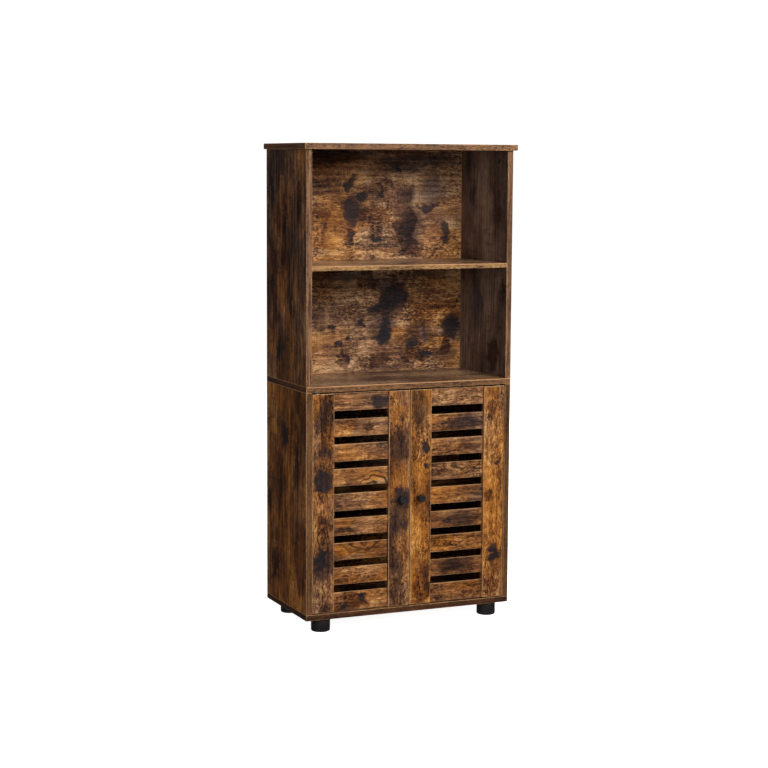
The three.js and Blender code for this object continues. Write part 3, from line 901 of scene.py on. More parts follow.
@dataclass(frozen=True)
class Moulding(Finish):
    """Moulded plastic: a fine pebbled skin with faint flow marks."""

    light: str = "1f1b1b"
    dark: str = "131010"
    rough: float = 0.5
    pebble: float = 1300.0
    gloss: float = 0.3

    def shader(self, graph: Graph, place: Socket) -> bpy.types.Node:
        """Builds the skin from its tones and the size of its pebbles.

        Args:
            graph: The material's graph.
            place: The object coordinates, in metres.

        Returns:
            The shader.
        """
        flow = graph.noise(place, 38, 4, 0.6, 0.5)
        pebbles = graph.add("TexVoronoi", {"Vector": place, "Scale": self.pebble})
        rubbed = graph.span(graph.noise(place, 150, 3, 0.7), 0.56, 0.72)
        colour = graph.ramp(flow, ((0.3, self.dark), (0.7, self.light)))
        colour = graph.mixed(graph.times(rubbed, 0.25), colour, paint(self.light))
        rough = graph.span(flow, 0.3, 0.7, self.rough - 0.06, self.rough + 0.1)
        return graph.surface(colour, rough, (pebbles.outputs["Distance"], 0.25, 0.0002), self.gloss)


@dataclass(frozen=True)
class Plating(Finish):
    """Plated metal: brushed along one direction and a little tarnished."""

    bright: str = "b4b6b8"
    dull: str = "7e8082"
    rough: float = 0.32
    brushed: Axis = Axis.X

    def shader(self, graph: Graph, place: Socket) -> bpy.types.Node:
        """Builds the metal from its tones.

        Args:
            graph: The material's graph.
            place: The object coordinates, in metres.

        Returns:
            The shader.
        """
        turned = graph.stretched(place, (1, 1, 1), GRAIN_TURNS[self.brushed])
        brush = graph.noise(graph.stretched(turned, (90, 2600, 2600)), 1, 2, 0.5)
        tarnish = graph.noise(place, 95, 4, 0.65)
        colour = graph.ramp(tarnish, ((0.3, self.dull), (0.62, self.bright)))
        rough = graph.span(tarnish, 0.3, 0.7, self.rough + 0.12, self.rough)
        rough = graph.math("ADD", rough, graph.times(brush, 0.1))
        return graph.surface(colour, rough, (brush, 0.15, 0.0001), metal=1.0)


@dataclass(frozen=True)
class StudioWhite(Finish):
    """The pale floor: it glows a little, so that it stays white far from the lights."""

    glow: float = 0.94

    def shader(self, graph: Graph, place: Socket) -> bpy.types.Node:
        """Builds a matt white with a trace of cloudiness.

        Args:
            graph: The material's graph.
            place: The object coordinates, in metres.

        Returns:
            The shader.
        """
        colour = graph.ramp(graph.noise(place, 2, 2, 0.5), ((0.3, "f2f1f0"), (0.7, "f6f5f4")))
        return graph.surface(colour, 0.9, gloss=0.0, glow=self.glow)


@dataclass(frozen=True)
class Backdrop(Finish):
    """A plain white that only the camera sees."""

    glow: float = 1.05

    def shader(self, graph: Graph, place: Socket) -> bpy.types.Node:
        """Builds an even glow."""
        return graph.add("Emission", {"Color": WHITE, "Strength": self.glow})


CHIP_CORE = ChipCore("bare_chipboard")
DOWEL_WOOD = BareWood("turned_dowel")
BLACK_PLASTIC = Moulding("black_moulding", "black_plastic")
BLACK_NYLON = Moulding("black_bush", "nylon", "26221e", "171412", 0.45, 2200.0)
DARK_ZINC = Plating("zinc_casting", "dark_zinc", "6a6055", "3d3731", 0.42)
BRIGHT_STEEL = Plating("plated_steel", "steel")
FERRITE = Moulding("sintered_magnet", "ferrite", "37373a", "232326", 0.62, 900.0)

# Pale rounded arrises: partly rubbed wear, partly a painted highlight along each edge
WORN_AND_HIGHLIT_EDGES = {
    axis: EdgeBand(
        f"worn_edge_{axis.name.lower()}", grain=axis, light="d2a676", dark="86603f", dashes=0.2
    )
    for axis in Axis
}
LONG_BAND = EdgeBand("long_band", light="b4834f", dark="4a2f1c", dashes=0.6)
# The pale line at the shelf's top rim is a painted highlight
PALE_BAND = EdgeBand(
    "pale_band", light="b28553", dark="422a18", dashes=0.75, highlight_levels=(948.2,)
)
TOP_BAND = EdgeBand("top_band", light="9a6e49", dark="331f17")
BASE_BAND = EdgeBand("base_band", light="5d371d", dark="24140a", dashes=0.6)
# The pale line at the deck's top rim is a painted highlight
DECK_BAND = EdgeBand("deck_band", light="8c623d", dark="3a2416", dashes=0.6, highlight_levels=(641.0,))
UPRIGHT_BAND = EdgeBand(
    "upright_left_band",
    grain=Axis.Z,
    light="976b49",
    dark="392315",
    dashes=0.65,
    lines=0.6,
    fine=250,
)
LOWER_BAND = EdgeBand(
    "lower_left_band", grain=Axis.Z, light="7c512e", dark="2c1a0f", dashes=0.5, lines=0.5, fine=220
)
SIDE_BANDS = {
    ("upper", Side.LEFT): UPRIGHT_BAND,
    ("upper", Side.RIGHT): replace(
        UPRIGHT_BAND, name="upright_right_band", light="855e40", dark="301d10"
    ),
    ("lower", Side.LEFT): LOWER_BAND,
    ("lower", Side.RIGHT): replace(
        LOWER_BAND, name="lower_right_band", light="6c4625", dark="271608"
    ),
}
# The end bands are dark as painted shade, as where a board's end faces away from the light
SHADED_END_BAND = EdgeBand("end_band", grain=Axis.Y, light="6f4a2e", dark="2a1a10", dashes=0.6)
TOP_SHADED_END_BAND = replace(SHADED_END_BAND, name="top_end_band", light="7e5536", dark="302016")
DECK_SHADED_END_BAND = replace(SHADED_END_BAND, name="deck_end_band", light="66361c", dark="27150b")
BASE_SHADED_END_BAND = replace(SHADED_END_BAND, name="base_end_band", light="4f2813", dark="1e1008")
# Nearly black: painted shade on the doors' top and bottom ends and on the rails' faces in the slots,
# where the gaps lie in shadow
DOOR_END_SHADE_BAND = EdgeBand(
    "door_end_band", "door_wood", light="1e140d", dark="100a06", dashes=0.5
)


# Shaping


@dataclass
class Workpiece:
    """A mesh in the making, in metres; the slots of its faces say which finishes they wear."""

    mesh: bmesh.types.BMesh = field(default_factory=bmesh.new)

    @classmethod
    def copied(cls, node: str) -> "Workpiece":
        """Starts from a copy of a frame solid, its loose triangles joined to flat faces.

        Args:
            node: The solid's name.

        Returns:
            The workpiece.
        """
        shape = cls()
        shape.mesh.from_mesh(bpy.data.objects[node].data)
        bmesh.ops.remove_doubles(shape.mesh, verts=shape.mesh.verts, dist=WELD)
        bmesh.ops.dissolve_limit(
            shape.mesh,
            angle_limit=math.radians(0.5),
            use_dissolve_boundaries=False,
            verts=shape.mesh.verts,
            edges=shape.mesh.edges,
            delimit=set(),
        )
        shape.mesh.normal_update()
        for face in shape.mesh.faces:
            face.material_index = 0
        return shape

    def block(self, size: Triple, centre: Triple, rounding: float, steps: int = 2) -> None:
        """Adds a block with rounded edges.

        Args:
            size: Its size in millimetres.
            centre: Its middle in the room, in millimetres.
            rounding: The radius of its edges.
            steps: How many steps each rounding has.
        """
        place = Matrix.Translation(Vector(centre) * MM) @ Matrix.Diagonal((*(Vector(size) * MM), 1))
        made = bmesh.ops.create_cube(self.mesh, size=1, matrix=place)
        edges = {edge for corner in made["verts"] for edge in corner.link_edges}
        self.rounded(edges, rounding, steps)

    def rounded(self, edges: Iterable[bmesh.types.BMEdge], radius: float, steps: int = 2) -> None:
        """Rounds edges.

        Args:
            edges: The edges.
            radius: The radius in millimetres.
            steps: How many steps the rounding has.
        """
        bmesh.ops.bevel(
            self.mesh,
            geom=list(edges),
            offset=radius * MM,
            offset_type="OFFSET",
            affect="EDGES",
            segments=steps,
            profile=0.5,
            material=-1,
            clamp_overlap=True,
        )

    def turned(self, outline: Sequence[Pair], place: Matrix, steps: int) -> None:
        """Spins an outline round the Z axis of a place.

        Args:
            outline: Pairs of radius and distance along the axis, in millimetres. It closes on
                itself, or starts and ends on the axis.
            place: Where its axis goes, in metres.
            steps: How many steps the full turn has.
        """
        shape = bmesh.new()
        points = [shape.verts.new((radius * MM, 0, along * MM)) for radius, along in outline]
        pairs = list(zip(points, points[1:]))
        if outline[0][0] > 0:
            pairs.append((points[-1], points[0]))
        edges = [shape.edges.new(pair) for pair in pairs]
        bmesh.ops.spin(
            shape,
            geom=points + edges,
            cent=(0, 0, 0),
            axis=(0, 0, 1),
            angle=math.tau,
            steps=steps,
            use_merge=True,
        )
        bmesh.ops.remove_doubles(shape, verts=shape.verts, dist=WELD)
        bmesh.ops.recalc_face_normals(shape, faces=shape.faces)
        bmesh.ops.transform(shape, matrix=place, verts=shape.verts)
        passing = bpy.data.meshes.new("passing")
        shape.to_mesh(passing)
        shape.free()
        self.mesh.from_mesh(passing)
        bpy.data.meshes.remove(passing)

    def sunk(self, face: bmesh.types.BMFace, margin: float, depth: float) -> None:
        """Sinks a socket into a face.

        Args:
            face: The face.
            margin: How much of its rim stays, in millimetres.
            depth: How deep the socket is.
        """
        bmesh.ops.inset_region(self.mesh, faces=[face], thickness=margin * MM, use_even_offset=True)
        out = bmesh.ops.extrude_discrete_faces(self.mesh, faces=[face])["faces"][0]
        bmesh.ops.translate(self.mesh, vec=-out.normal * depth * MM, verts=out.verts)

    def delivered(
        self,
        name: str,
        body: str,
        finishes: Sequence[Finish],
        stands_for: Iterable[str] = (),
        smooth_below: float = 0,
    ) -> None:
        """Turns the workpiece into a finished piece of the scene, at the origin.

        Args:
            name: The piece's name.
            body: The body that it rides on.
            finishes: Its finishes, in the order of its faces' slots.
            stands_for: The frame's nodes that it replaces.
            smooth_below: The angle in degrees below which faces shade smoothly into each other.
        """
        mesh = bpy.data.meshes.new(name)
        self.mesh.to_mesh(mesh)
        self.mesh.free()
        if smooth_below:
            mesh.shade_smooth()
            mesh.set_sharp_from_angle(angle=math.radians(smooth_below))
        for finish in finishes:
            mesh.materials.append(finish.material())
        piece = bpy.data.objects.new(name, mesh)
        bpy.context.scene.collection.objects.link(piece)
        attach(piece, body)
        if stands_for:
            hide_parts(*stands_for)
        LOG.info("%s: %d faces on %s", name, len(mesh.polygons), body)


def seat(origin: Triple, out: Vector) -> Matrix:
    """A place whose Z axis points out of a face.

    Args:
        origin: Its origin in millimetres.
        out: The direction of its Z axis.

    Returns:
        The place as a matrix, in metres.
    """
    turn = out.to_track_quat("Z", "Y").to_matrix().to_4x4()
    return Matrix.Translation(Vector(origin) * MM) @ turn


def arc(middle: Pair, radius: float, start: float, end: float, steps: int = 5) -> list[Pair]:
    """Points on an arc of an outline.

    Args:
        middle: Its middle as radius and distance along the axis, in millimetres.
        radius: Its own radius.
        start: The angle at which it starts, in degrees.
        end: The angle at which it ends.
        steps: How many steps it has.

    Returns:
        The points from start to end.
    """
    angles = [math.radians(start + (end - start) * step / steps) for step in range(steps + 1)]
    return [
        (middle[0] + radius * math.cos(angle), middle[1] + radius * math.sin(angle))
        for angle in angles
    ]


@dataclass
class Turning:
    """A turned piece that stands for one node of the frame."""

    node: str
    kind: str
    finish: Finish
    outline: Sequence[Pair]
    steps: int
    body: str = "carcass"
    smooth_below: float = 30

    def build(self, place: Matrix) -> None:
        """Turns the piece and delivers it.

        Args:
            place: The place whose Z axis it is turned about, in metres.
        """
        piece = Workpiece()
        piece.turned(self.outline, place, self.steps)
        name = f"{self.node}_{self.kind}"
        piece.delivered(name, self.body, [self.finish], [self.node], self.smooth_below)


# Boards


class Wear(Enum):
    """What a face of a board wears; the value is its slot."""

    FOIL = 0
    BAND = 1
    ARRIS = 2
    CORE = 3
    STEEL = 4
    DOWEL = 5
    END = 6
    OUTER = 7


@dataclass
class Board:
    """One board: its foil on the broad faces, bands on its edges and fasteners in its ends.

    A board that isn't banded wears foil all round, except in its capped directions, where its
    faces wear the end band. Where it is smaller than its frame solid, solid_size and solid_centre
    say what it is trimmed from. All sizes are in millimetres; arris_reach is a share of the
    rounding.
    """

    node: str
    size: Triple
    centre: Triple
    foil: RusticFoil
    body: str = "carcass"
    rounding: float = 0.7
    steps: int = 2
    round_along: tuple[Axis, ...] = tuple(Axis)
    long_screws: bool = False
    banded: bool = True
    band: EdgeBand = LONG_BAND
    outer_foil: RusticFoil | None = None
    end_band: EdgeBand = SHADED_END_BAND
    capped: tuple[Axis, ...] = ()
    solid_size: Triple | None = None
    solid_centre: Triple | None = None
    arris_reach: float = 1.2
    dowel_from_edge: float = 84
    dowel_reach: float = 6
    head_areas: Pair = (50, 100)
    head_sink: float = 10
    socket_rim: float = 2.4
    socket_depth: float = 2.5

    @property
    def thin(self) -> Axis:
        """The direction of the board's thickness."""
        return Axis(self.size.index(min(self.size)))

    @property
    def longest(self) -> Axis:
        """The direction of the board's length."""
        return Axis(peak(self.size))

    @property
    def half(self) -> Vector:
        """Half the board's size, in metres."""
        return Vector(self.size) * MM / 2

    def local(self, point: Vector) -> Vector:
        """A point as seen from the board's middle, in metres."""
        return point - Vector(self.centre) * MM

    def outer_edges(self, shape: Workpiece) -> list[bmesh.types.BMEdge]:
        """The edges of the board's own box that get rounded.

        Args:
            shape: The board's workpiece.

        Returns:
            The edges that run in the directions of round_along.
        """
        found = []
        for edge in shape.mesh.edges:
            start, end = (self.local(corner.co) for corner in edge.verts)
            run = [abs(value) for value in start - end]
            along = peak(run)
            across = [index for index in range(3) if index != along]
            on_box = all(
                abs(abs(point[index]) - self.half[index]) < TOUCH
                for point in (start, end)
                for index in across
            )
            straight = all(run[index] < TOUCH for index in across)
            if on_box and straight and Axis(along) in self.round_along:
                found.append(edge)
        return found

    def wear(self, face: bmesh.types.BMFace) -> Wear:
        """Chooses what one face wears.

        Args:
            face: The face, after rounding.

        Returns:
            Its finish: the steel or wood of a fastener outside the board's box, a finish of the
            outside, an arris rubbed pale and painted with a highlight, or the core inside a bore.
        """
        middle = self.local(face.calc_center_median())
        beyond = [abs(middle[index]) - self.half[index] for index in range(3)]
        if max(beyond) > TOUCH:
            return Wear.DOWEL if self.is_dowel(middle) else Wear.STEEL
        facing = peak(abs(value) for value in face.normal)
        square = abs(face.normal[facing]) > SQUARE
        if square and beyond[facing] > -TOUCH:
            return self.outside_wear(Axis(facing), face.normal[facing])
        near = sorted(beyond, reverse=True)[1] > -self.arris_reach * self.rounding * MM
        return Wear.ARRIS if near and not square else Wear.CORE

    def outside_wear(self, facing: Axis, way: float) -> Wear:
        """Chooses what a face on the board's outside wears.

        Args:
            facing: The direction that it faces.
            way: Which of its two ways it faces, as a sign.

        Returns:
            Its finish.
        """
        if facing in self.capped:
            return Wear.END
        if facing is self.thin or not self.banded:
            outward = way * self.centre[facing.value] > 0
            return Wear.OUTER if self.outer_foil and outward else Wear.FOIL
        return Wear.END if facing is self.longest else Wear.BAND

    def is_dowel(self, middle: Vector) -> bool:
        """Tells a wooden dowel from a steel screw or bolt.

        Args:
            middle: The middle of a face of the fastener, as seen from the board's middle.

        Returns:
            Whether it is a dowel: they stand in the middle of an end, at one distance from its
            edges, or in the back panels.
        """
        end = peak(abs(middle[index]) - self.half[index] for index in range(3))
        off = [abs(middle[index]) for index in range(3) if index not in (end, self.thin.value)][0]
        reach = self.dowel_reach * MM
        from_edge = abs(off - (self.half[1] - self.dowel_from_edge * MM))
        return from_edge < reach or off < reach or self.thin is Axis.Y

    def build(self) -> None:
        """Makes the board and dresses it."""
        shape = Workpiece.copied(self.node)
        if self.solid_size:
            self.trim(shape, self.solid_size)
        if self.long_screws:
            self.sink_sockets(shape)
        shape.rounded(self.outer_edges(shape), self.rounding, self.steps)
        shape.mesh.normal_update()
        for face in shape.mesh.faces:
            face.material_index = self.wear(face).value
        finishes = {
            Wear.FOIL: self.foil,
            Wear.BAND: self.band,
            Wear.ARRIS: WORN_AND_HIGHLIT_EDGES[self.longest],
            Wear.CORE: CHIP_CORE,
            Wear.STEEL: BRIGHT_STEEL,
            Wear.DOWEL: DOWEL_WOOD,
            Wear.END: self.end_band,
            Wear.OUTER: self.outer_foil,
        }
        laid = [finishes[wear] for wear in Wear if finishes[wear]]
        shape.delivered(f"{self.node}_board", self.body, laid, [self.node])

    def trim(self, shape: Workpiece, solid_size: Triple) -> None:
        """Brings the faces in where the board is smaller than its frame solid.

        Args:
            shape: The board's workpiece.
            solid_size: The size of the solid's box.
        """
        middle = Vector(self.solid_centre or self.centre) * MM
        reach = Vector(solid_size) * MM / 2
        for corner in shape.mesh.verts:
            for index in range(3):
                off = corner.co[index] - middle[index]
                if abs(abs(off) - reach[index]) < TOUCH:
                    own = math.copysign(self.half[index], off)
                    corner.co[index] = self.centre[index] * MM + own
        shape.mesh.normal_update()

    def sink_sockets(self, shape: Workpiece) -> None:
        """Sinks a driver socket into the head of each long screw under the board.

        Args:
            shape: The board's workpiece.
        """
        least, most = (area * MM * MM for area in self.head_areas)
        heads = [
            face
            for face in shape.mesh.faces
            if face.normal.z < -FLAT
            and self.local(face.calc_center_median()).z < -self.half.z - self.head_sink * MM
            and least < face.calc_area() < most
        ]
        for head in heads:
            shape.sunk(head, self.socket_rim, self.socket_depth)


@dataclass
class Carcass:
    """The fixed boards of the cupboard, and the levels that its fittings go by."""

    board: float = 15
    shelf_thickness: float = 12
    width: float = 584
    depth: float = 290
    lower_side: float = 578
    upper_side: float = 602
    foot_height: float = 34
    side_overhang: float = 8
    front_overhang: float = 10
    back_inset: float = 15
    front_y: float = -134.5
    shelf_gap: float = 1
    shelf_back_gap: float = 2
    shelf_setback: float = 38
    shelf_height: float = 272

    @property
    def middle_y(self) -> float:
        """The middle of the side panels from front to back."""
        return self.front_y + self.depth / 2

    @property
    def inner_x(self) -> float:
        """Where the side panels' inner faces are."""
        return self.width / 2 - self.board

    @property
    def lower_level(self) -> float:
        """The top of the bottom panel."""
        return self.foot_height + self.board

    @property
    def deck_level(self) -> float:
        """The underside of the deck."""
        return self.lower_level + self.lower_side

    @property
    def upper_level(self) -> float:
        """The top of the deck."""
        return self.deck_level + self.board

    @property
    def top_level(self) -> float:
        """The underside of the top panel."""
        return self.upper_level + self.upper_side

    @property
    def back_y(self) -> float:
        """The rear edge of the side panels."""
        return self.front_y + self.depth

    @property
    def back_face_y(self) -> float:
        """The front of the back panels."""
        return self.back_y - self.back_inset

    def flat_boards(self) -> list[Board]:
        """Lists the top, the deck and the bottom panel.

        Returns:
            The boards.
        """
        width, depth, y = self.width, self.depth, self.middle_y
        size = (width, depth, self.board)
        top_size = (width + 2 * self.side_overhang, depth + self.front_overhang, self.board)
        top_y = y - self.front_overhang / 2
        top_foil = RusticFoil("top_foil", shift=(0.4, 0.1, 0.2), warmth=0.25)
        deck_foil = RusticFoil(
            "deck_foil",
            shift=(1.7, 0.3, 0.1),
            warmth=0.02,
            shade=-0.03,
            gloss=0.45,
            grey=0.12,
            smooth=0.27,
        )
        # The bottom panel is darkened a little as painted shade inside the cupboard
        base_foil = RusticFoil("bottom_foil", shift=(2.9, 0.7, 0.4), shade=0.06)
        rows = (
            ("top_panel", top_size, top_y, self.top_level, top_foil, TOP_BAND, TOP_SHADED_END_BAND),
            ("deck_panel", size, y, self.deck_level, deck_foil, DECK_BAND, DECK_SHADED_END_BAND),
            ("bottom_panel", size, y, self.foot_height, base_foil, BASE_BAND, BASE_SHADED_END_BAND),
        )
        return [
            Board(name, box, (0, at, under + self.board / 2), foil, band=band, end_band=end_band)
            for name, box, at, under, foil, band, end_band in rows
        ]

    def shelves(self) -> list[Board]:
        """Lists the fixed shelf and the adjustable one.

        Returns:
            The boards.
        """
        width = 2 * self.inner_x
        depth = self.back_face_y - self.front_y
        front = self.front_y + self.shelf_setback
        back = self.back_face_y - self.shelf_back_gap
        fixed_foil = RusticFoil(
            "shelf_foil",
            shift=(4.1, 0.2, 0.6),
            warmth=0.0,
            shade=-0.09,
            marks=marked(SHELF_SPOTS),
            gloss=0.45,
            grey=0.2,
            smooth=0.27,
        )
        # The adjustable shelf is darkened as painted shade inside the cupboard
        loose_foil = RusticFoil("loose_shelf_foil", shift=(5.3, 0.9, 0.2), warmth=0.2, shade=0.08)
        return [
            Board(
                "fixed_shelf",
                (width, depth, self.shelf_thickness),
                (0, self.front_y + depth / 2, self.upper_level + self.upper_side / 2),
                fixed_foil,
                band=PALE_BAND,
                solid_size=(width, depth, self.board),
            ),
            Board(
                "adjustable_shelf",
                (2 * (self.inner_x - self.shelf_gap), back - front, self.board),
                (0, (front + back) / 2, self.lower_level + self.shelf_height + self.board / 2),
                loose_foil,
            ),
        ]

    def inner_foil(self, storey: str, side: Side, foil: RusticFoil) -> RusticFoil:
        """Chooses the foil on the inner face of a side panel, with painted shade where it differs
        from the outer one.

        Args:
            storey: Its storey, upper or lower.
            side: Its side.
            foil: Its outer foil.

        Returns:
            The outer foil itself where both faces are alike.
        """
        name = foil.name.replace("_foil", "_inner_foil")
        # Inside the lower storey, behind the doors, the inner face is darkened as painted shade
        if storey == "lower":
            return replace(foil, name=name, shade=0.28, marks=())
        if side is Side.LEFT:
            return foil
        # The upper right wall gets a greyer, cooler and flatter copy of the foil as painted shade,
        # being turned away from the light
        marks = marked(UPPER_RIGHT_SPOTS, Axis.X)
        return replace(
            foil, name=name, warmth=-0.3, shade=0.02, marks=marks, contrast=0.55, grey=0.35
        )

    def side_boards(self) -> list[Board]:
        """Lists the four side panels, their foil darkened as painted shade.

        Returns:
            The boards.
        """
        shifts = {Side.LEFT: (0.2, 0.5, 0.3), Side.RIGHT: (3.3, 1.5, 0.8)}
        # Each storey's name, level, height, warmth, shade and spots; the shade darkens the side foil
        # as painted shade
        storeys = (
            ("upper", self.upper_level, self.upper_side, 0.3, 0.12, UPPER_LEFT_SPOTS),
            ("lower", self.lower_level, self.lower_side, 0.8, 0.08, LOWER_SIDE_SPOTS),
        )
        boards = []
        for side in Side:
            x = side.value * (self.width - self.board) / 2
            for storey, level, height, warmth, shade, spots in storeys:
                name = f"{storey}_{side.word}_side"
                outer = RusticFoil(
                    f"{name}_foil",
                    grain=Axis.Z,
                    shift=shifts[side],
                    warmth=warmth,
                    shade=shade,
                    figure=0.25,
                    marks=marked(spots, Axis.X),
                    gloss=0.08,
                )
                inner = self.inner_foil(storey, side, outer)
                board = Board(
                    name,
                    (self.board, self.depth, height),
                    (x, self.middle_y, level + height / 2),
                    inner,
                    long_screws=True,
                    band=SIDE_BANDS[storey, side],
                    outer_foil=None if inner is outer else outer,
                )
                boards.append(board)
        return boards

    def back_boards(self) -> list[Board]:
        """Lists the two back panels.

        Returns:
            The boards.
        """
        width = 2 * self.inner_x
        y = self.back_face_y + self.back_inset / 2
        upper = RusticFoil(
            "upper_back_foil",
            shift=(6.2, 0.4, 0.9),
            warmth=0.08,
            shade=-0.09,
            figure=1.1,
            marks=marked(UPPER_BACK_SPOTS),
        )
        # The lower back is darkened as painted shade inside the cupboard behind the doors
        lower = RusticFoil("lower_back_foil", shift=(8.4, 1.4, 0.5), warmth=0.25, shade=0.24)
        storeys = (
            ("upper_back_panel", self.upper_level, self.upper_side, upper),
            ("lower_back_panel", self.lower_level, self.lower_side, lower),
        )
        return [
            Board(name, (width, self.back_inset, height), (0, y, level + height / 2), foil)
            for name, level, height, foil in storeys
        ]

    def build(self) -> None:
        """Makes all the fixed boards and the adjustable shelf."""
        for boards in (self.flat_boards(), self.shelves(), self.side_boards(), self.back_boards()):
            for board in boards:
                board.build()


# Fittings


@dataclass
class Screw:
    """A screw with a domed head and a round driver socket.

    The dome's points are shares of the head's radius and height, and so are the socket's sizes.
    """

    name: str
    head: Triple
    into: Vector
    diameter: float
    length: float
    head_diameter: float
    head_height: float
    body: str = "carcass"
    dome: Sequence[Pair] = ((0.62, 1), (0.88, 0.72), (1, 0.2), (1, 0))
    neck: float = 1
    tip: float = 2
    pitch: float = 1.4
    core_share: float = 0.8
    socket_rim: float = 0.3
    socket_depth: float = 0.5
    steps: int = 24

    def outline(self) -> list[Pair]:
        """Draws the screw, its head towards -Z.

        Returns:
            The outline from the top of the head to the tip.
        """
        radius, shank, tall = self.head_diameter / 2, self.diameter / 2, self.head_height
        points = [(0, -tall), *((radius * out, -tall * up) for out, up in self.dome), (shank, 0)]
        for turn in range(int((self.length - self.neck - self.tip) / self.pitch)):
            along = self.neck + turn * self.pitch
            points += [(shank, along), (shank * self.core_share, along + self.pitch / 2)]
        return [*points, (shank, self.length - self.tip), (0, self.length)]

    def build(self) -> None:
        """Turns the screw and sinks the socket into the flat top of its head."""
        screw = Workpiece()
        screw.turned(self.outline(), Matrix.Identity(4), self.steps)
        top = [face for face in screw.mesh.faces if face.normal.z < -FLAT]
        level = min(face.calc_center_median().z for face in top)
        flat = [face for face in top if face.calc_center_median().z < level + TOUCH]
        rim = self.socket_rim * self.head_diameter / 2
        for face in bmesh.ops.dissolve_faces(screw.mesh, faces=flat, use_verts=True)["region"]:
            screw.sunk(face, rim, self.socket_depth * self.head_height)
        bmesh.ops.transform(screw.mesh, matrix=seat(self.head, self.into), verts=screw.mesh.verts)
        screw.delivered(self.name, self.body, [BRIGHT_STEEL], smooth_below=30)


@dataclass
class Feet:
    """Four moulded feet, each held by a screw whose head is let into its underside.

    The groove's points are how deep it is and how far below the top.
    """

    radius: float = 25
    height: float = 34
    bottom_round: float = 4
    top_round: float = 1
    groove: Sequence[Pair] = ((0, 5.2), (0.5, 4.9), (0.5, 4.3), (0, 4))
    bore: float = 2.2
    recess: float = 7
    chamfer: float = 0.6
    web: float = 8
    x: float = 241
    front_y: float = -106.5
    rear_y: float = 116.5

    def outline(self) -> list[Pair]:
        """Draws the moulding, with a shallow groove under its top rim.

        Returns:
            The closed outline.
        """
        low, high, ceiling = self.bottom_round, self.top_round, self.height - self.web
        return [
            (self.recess, self.chamfer),
            (self.recess + self.chamfer, 0),
            *arc((self.radius - low, low), low, -90, 0, 7),
            *((self.radius - deep, self.height - below) for deep, below in self.groove),
            *arc((self.radius - high, self.height - high), high, 0, 90, 3),
            (self.bore, self.height),
            (self.bore, ceiling),
            (self.recess, ceiling),
        ]

    def build(self) -> None:
        """Makes the four feet and their screws."""
        up = Axis.Z.vector
        for side in Side:
            for row, y in (("front", self.front_y), ("rear", self.rear_y)):
                node = f"{row}_{side.word}_foot"
                x = side.value * self.x
                foot = Turning(node, "moulding", BLACK_PLASTIC, self.outline(), 64, smooth_below=32)
                foot.build(seat((x, y, 0), up))
                name, head = f"{node}_screw", (x, y, self.height - self.web)
                Screw(
                    name, head, up, diameter=4.2, length=20, head_diameter=9, head_height=3
                ).build()


@dataclass
class CamFittings:
    """The four cam fittings that show in the upper bay, under the top."""

    radius: float = 7.5
    depth: float = 12.5
    rim_level: float = -0.05
    below_top: float = 28
    from_edge: float = 52
    bolt_radius: float = 2
    thread_radius: float = 3
    thread_length: float = 11
    thread_turns: int = 5
    pitch: float = 2.1
    flank: float = 1.1
    core_share: float = 0.78

    def drum(self) -> list[Pair]:
        """Draws the drum: a raised rim round a dished face, with a driver hole.

        Returns:
            The outline from the hole to the drum's inner end.
        """
        rim = self.rim_level
        return [
            (0, -2.6),
            (1.5, -2.4),
            (1.6, rim - 0.5),
            (2.2, rim - 0.35),
            (5.6, rim - 0.35),
            (5.9, rim),
            (self.radius - 0.4, rim),
            (self.radius, rim - 0.4),
            (self.radius, -self.depth + 0.5),
            (self.radius - 0.5, -self.depth),
            (0, -self.depth),
        ]

    def bolt(self) -> list[Pair]:
        """Draws the bolt: shank, collar and thread.

        Returns:
            The outline from the drum up to the tip.
        """
        start, crest = self.below_top, self.thread_radius
        points = [(0, 0), (self.bolt_radius, 0), (self.bolt_radius, start - 0.4)]
        for turn in range(self.thread_turns):
            along = start + turn * self.pitch
            points += [(crest, along), (crest * self.core_share, along + self.flank)]
        end = start + self.thread_length
        return [*points, (crest, end - 0.6), (0, end)]

    def build(self, carcass: Carcass) -> None:
        """Makes the drums and their bolts.

        Args:
            carcass: The carcass that they stand in.
        """
        level = carcass.top_level - self.below_top
        rows = (
            ("front", carcass.front_y + self.from_edge),
            ("rear", carcass.back_y - self.from_edge),
        )
        for side in Side:
            face_x = side.value * carcass.inner_x
            bolt_x = side.value * (carcass.inner_x + carcass.board / 2)
            for row, y in rows:
                node = f"{row}_{side.word}_cam_fitting"
                fitting = Workpiece()
                face = seat((face_x, y, level), -side.value * Axis.X.vector)
                fitting.turned(self.drum(), face, 40)
                fitting.turned(self.bolt(), seat((bolt_x, y, level), Axis.Z.vector), 24)
                fitting.delivered(f"{node}_casting", "carcass", [DARK_ZINC], [node], 30)


